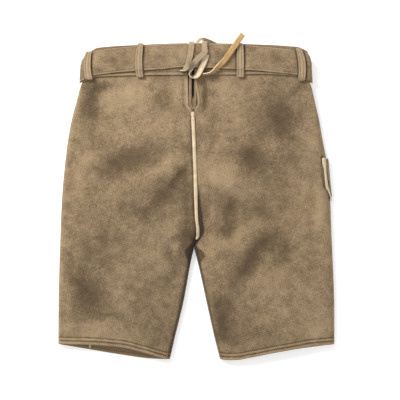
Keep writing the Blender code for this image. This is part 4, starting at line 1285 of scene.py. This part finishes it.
KEPT_SOLIDS = {"belt_buckle": "dull_nickel", "flap_button_1": "dark_horn",
               "flap_button_2": "dark_horn", "flap_button_3": "dark_horn"}


def kept_metal_and_horn():
    """The buckle and the flap's buttons keep their solids and take their finishes."""
    for name, finish in KEPT_SOLIDS.items():
        solid = bpy.data.objects[name]
        if not solid.material_slots:
            solid.data.materials.append(bpy.data.materials[finish])
        for place in solid.material_slots:
            place.material = bpy.data.materials[finish]


FLOOR_HALF = 6.0  # metres
# Each lamp's place in metres, its share of the key light's power and its size in metres.
LAMPS = {"key": ((-1.3, 1.5, 1.5), 1.0, 0.9), "fill": ((1.2, -0.6, 1.8), 0.12, 1.6)}
CAMERA_SPOT, CAMERA_LENS, CAMERA_SENSOR = (0.0072, 0.0036, 2.02), 100, 36


def make_stage(settings):
    """A pale floor, an even sky, one large soft light from the upper left and a fill."""
    corners = [(x * FLOOR_HALF, y * FLOOR_HALF, 0) for x, y in ((-1, -1), (1, -1), (1, 1), (-1, 1))]
    mesh = bpy.data.meshes.new("floor")
    mesh.from_pydata(corners, [], [(0, 1, 2, 3)])
    mesh.materials.append(bpy.data.materials["pale_floor"])
    floor = bpy.data.objects.new("floor", mesh)
    bpy.context.scene.collection.objects.link(floor)
    world = bpy.context.scene.world or bpy.data.worlds.new("sky")
    bpy.context.scene.world = world
    world.use_nodes = True
    sky = world.node_tree.nodes["Background"]
    sky.inputs["Color"].default_value = (1, 1, 1, 1)
    sky.inputs["Strength"].default_value = settings.sky
    for name, (spot, share, size) in LAMPS.items():
        light = bpy.data.lights.new(name, "AREA")
        light.energy = settings.key * share
        light.size = size
        lamp = bpy.data.objects.new(name, light)
        lamp.location = spot
        lamp.rotation_euler = (-Vector(spot)).to_track_quat("-Z", "Y").to_euler()
        bpy.context.scene.collection.objects.link(lamp)


def make_camera():
    """A camera straight above, with the waist at the top of its view."""
    data = bpy.data.cameras.new("camera")
    data.lens = CAMERA_LENS
    data.sensor_width = CAMERA_SENSOR
    camera = bpy.data.objects.new("camera", data)
    camera.location = CAMERA_SPOT
    bpy.context.scene.collection.objects.link(camera)
    bpy.context.scene.camera = camera
    bpy.context.scene.view_settings.view_transform = "Standard"


# ---------------------------------------------------------------------------------------
# The add-on: settings, one operator for each group, and a panel
# ---------------------------------------------------------------------------------------
class LederhosenSettings(bpy.types.PropertyGroup):
    """What can be changed about the leather and its light."""

    panel_columns: bpy.props.IntProperty(
        name="Panel columns", description="Columns of points across each back panel",
        default=92, min=20, max=110)
    wear: bpy.props.FloatProperty(
        name="Wear", description="How deep the creases and puckers are", default=1.0, min=0, max=2)
    sky: bpy.props.FloatProperty(
        name="Sky", description="Strength of the even light", default=0.55, min=0, max=3)
    key: bpy.props.FloatProperty(
        name="Key light", description="Power of the large light at the upper left", default=62.0,
        min=0, unit="POWER")
    # The dark end serves soiled nap and painted shade alike; the light end serves the nap's wear and
    # painted highlight.
    hide_dark: bpy.props.FloatVectorProperty(
        name="Soiled suede", description="Colour of the back's suede where the nap is dark",
        default=(0.105, 0.070, 0.038), min=0, max=1, subtype="COLOR")
    hide_light: bpy.props.FloatVectorProperty(
        name="Rubbed suede", description="Colour of the back's suede where the nap is light",
        default=(0.40, 0.285, 0.165), min=0, max=1, subtype="COLOR")


class LEDERHOSEN_OT_finishes(bpy.types.Operator):
    """Make every material"""

    bl_idname = "lederhosen.finishes"
    bl_label = "Finishes"
    bl_options = {"REGISTER", "UNDO"}

    def execute(self, context):
        make_finishes(context.scene.lederhosen)
        return {"FINISHED"}


class LEDERHOSEN_OT_camera(bpy.types.Operator):
    """Put the camera straight above"""

    bl_idname = "lederhosen.camera"
    bl_label = "Camera"
    bl_options = {"REGISTER", "UNDO"}

    def execute(self, context):
        make_camera()
        return {"FINISHED"}


class LEDERHOSEN_OT_laces(bpy.types.Operator):
    """Tie the slit's flat laces"""

    bl_idname = "lederhosen.laces"
    bl_label = "Laces"
    bl_options = {"REGISTER", "UNDO"}

    def execute(self, context):
        for name in LACES:
            lace(name)
        return {"FINISHED"}


class LEDERHOSEN_OT_backs(bpy.types.Operator):
    """Make the two back panels"""

    bl_idname = "lederhosen.backs"
    bl_label = "Back panels"
    bl_options = {"REGISTER", "UNDO"}

    def execute(self, context):
        for side in SIDES:
            back_panel(side, context.scene.lederhosen)
        return {"FINISHED"}


class LEDERHOSEN_OT_fronts(bpy.types.Operator):
    """Make the two front panels and the flap"""

    bl_idname = "lederhosen.fronts"
    bl_label = "Front panels"
    bl_options = {"REGISTER", "UNDO"}

    def execute(self, context):
        for side in SIDES:
            front_panel(side, context.scene.lederhosen)
        front_flap()
        return {"FINISHED"}


class LEDERHOSEN_OT_waist(bpy.types.Operator):
    """Make the waistband and the belt"""

    bl_idname = "lederhosen.waist"
    bl_label = "Waist"
    bl_options = {"REGISTER", "UNDO"}

    def execute(self, context):
        for side in SIDES:
            waistband(side)
        belt()
        return {"FINISHED"}


class LEDERHOSEN_OT_loops(bpy.types.Operator):
    """Make the four back loops and the two front ones"""

    bl_idname = "lederhosen.loops"
    bl_label = "Belt loops"
    bl_options = {"REGISTER", "UNDO"}

    def execute(self, context):
        for name in LOOPS:
            back_loop(name)
        for name in FRONT_LOOPS:
            front_loop(name)
        return {"FINISHED"}


class LEDERHOSEN_OT_trims(bpy.types.Operator):
    """Make the welt, the pocket's edge, the slit's gusset and the hem tab"""

    bl_idname = "lederhosen.trims"
    bl_label = "Trims"
    bl_options = {"REGISTER", "UNDO"}

    def execute(self, context):
        centre_welt()
        for name in POCKET_STRIPS:
            fold_strip(name)
        slit_gusset()
        hem_tab()
        return {"FINISHED"}


class LEDERHOSEN_OT_threads(bpy.types.Operator):
    """Sew the hems, the belt, the band and the slit"""

    bl_idname = "lederhosen.threads"
    bl_label = "Threads"
    bl_options = {"REGISTER", "UNDO"}

    def execute(self, context):
        hem_stitches()
        belt_stitches()
        band_stitches()
        slit_stitches()
        return {"FINISHED"}


class LEDERHOSEN_OT_hardware(bpy.types.Operator):
    """Finish the buckle and the buttons"""

    bl_idname = "lederhosen.hardware"
    bl_label = "Buckle and buttons"
    bl_options = {"REGISTER", "UNDO"}

    def execute(self, context):
        kept_metal_and_horn()
        return {"FINISHED"}


class LEDERHOSEN_OT_stage(bpy.types.Operator):
    """Make the floor, the sky and the lamps"""

    bl_idname = "lederhosen.stage"
    bl_label = "Stage"
    bl_options = {"REGISTER", "UNDO"}

    def execute(self, context):
        make_stage(context.scene.lederhosen)
        return {"FINISHED"}


OPERATORS = [
    LEDERHOSEN_OT_finishes, LEDERHOSEN_OT_camera, LEDERHOSEN_OT_laces,
    LEDERHOSEN_OT_backs, LEDERHOSEN_OT_fronts, LEDERHOSEN_OT_waist,
    LEDERHOSEN_OT_loops, LEDERHOSEN_OT_trims, LEDERHOSEN_OT_threads,
    LEDERHOSEN_OT_hardware, LEDERHOSEN_OT_stage,
]


class LEDERHOSEN_PT_panel(bpy.types.Panel):
    """The settings and the operators, in the order in which they run."""

    bl_label = "Lederhosen"
    bl_idname = "LEDERHOSEN_PT_panel"
    bl_space_type = "VIEW_3D"
    bl_region_type = "UI"
    bl_category = "Lederhosen"

    def draw(self, context):
        settings = context.scene.lederhosen
        for key in ("panel_columns", "wear", "hide_dark", "hide_light", "sky", "key"):
            self.layout.prop(settings, key)
        for made in OPERATORS:
            self.layout.operator(made.bl_idname)


CLASSES = [LederhosenSettings, *OPERATORS, LEDERHOSEN_PT_panel]


def register():
    """Registers the classes, and the settings on the scene."""
    for made in CLASSES:
        bpy.utils.register_class(made)
    bpy.types.Scene.lederhosen = bpy.props.PointerProperty(type=LederhosenSettings)


def unregister():
    """Takes the settings and the classes away again."""
    del bpy.types.Scene.lederhosen
    for made in reversed(CLASSES):
        bpy.utils.unregister_class(made)


def main():
    """Runs every operator in order."""
    register()
    for made in OPERATORS:
        getattr(bpy.ops.lederhosen, made.bl_idname.split(".")[1])()


if __name__ == "__main__":
    main()
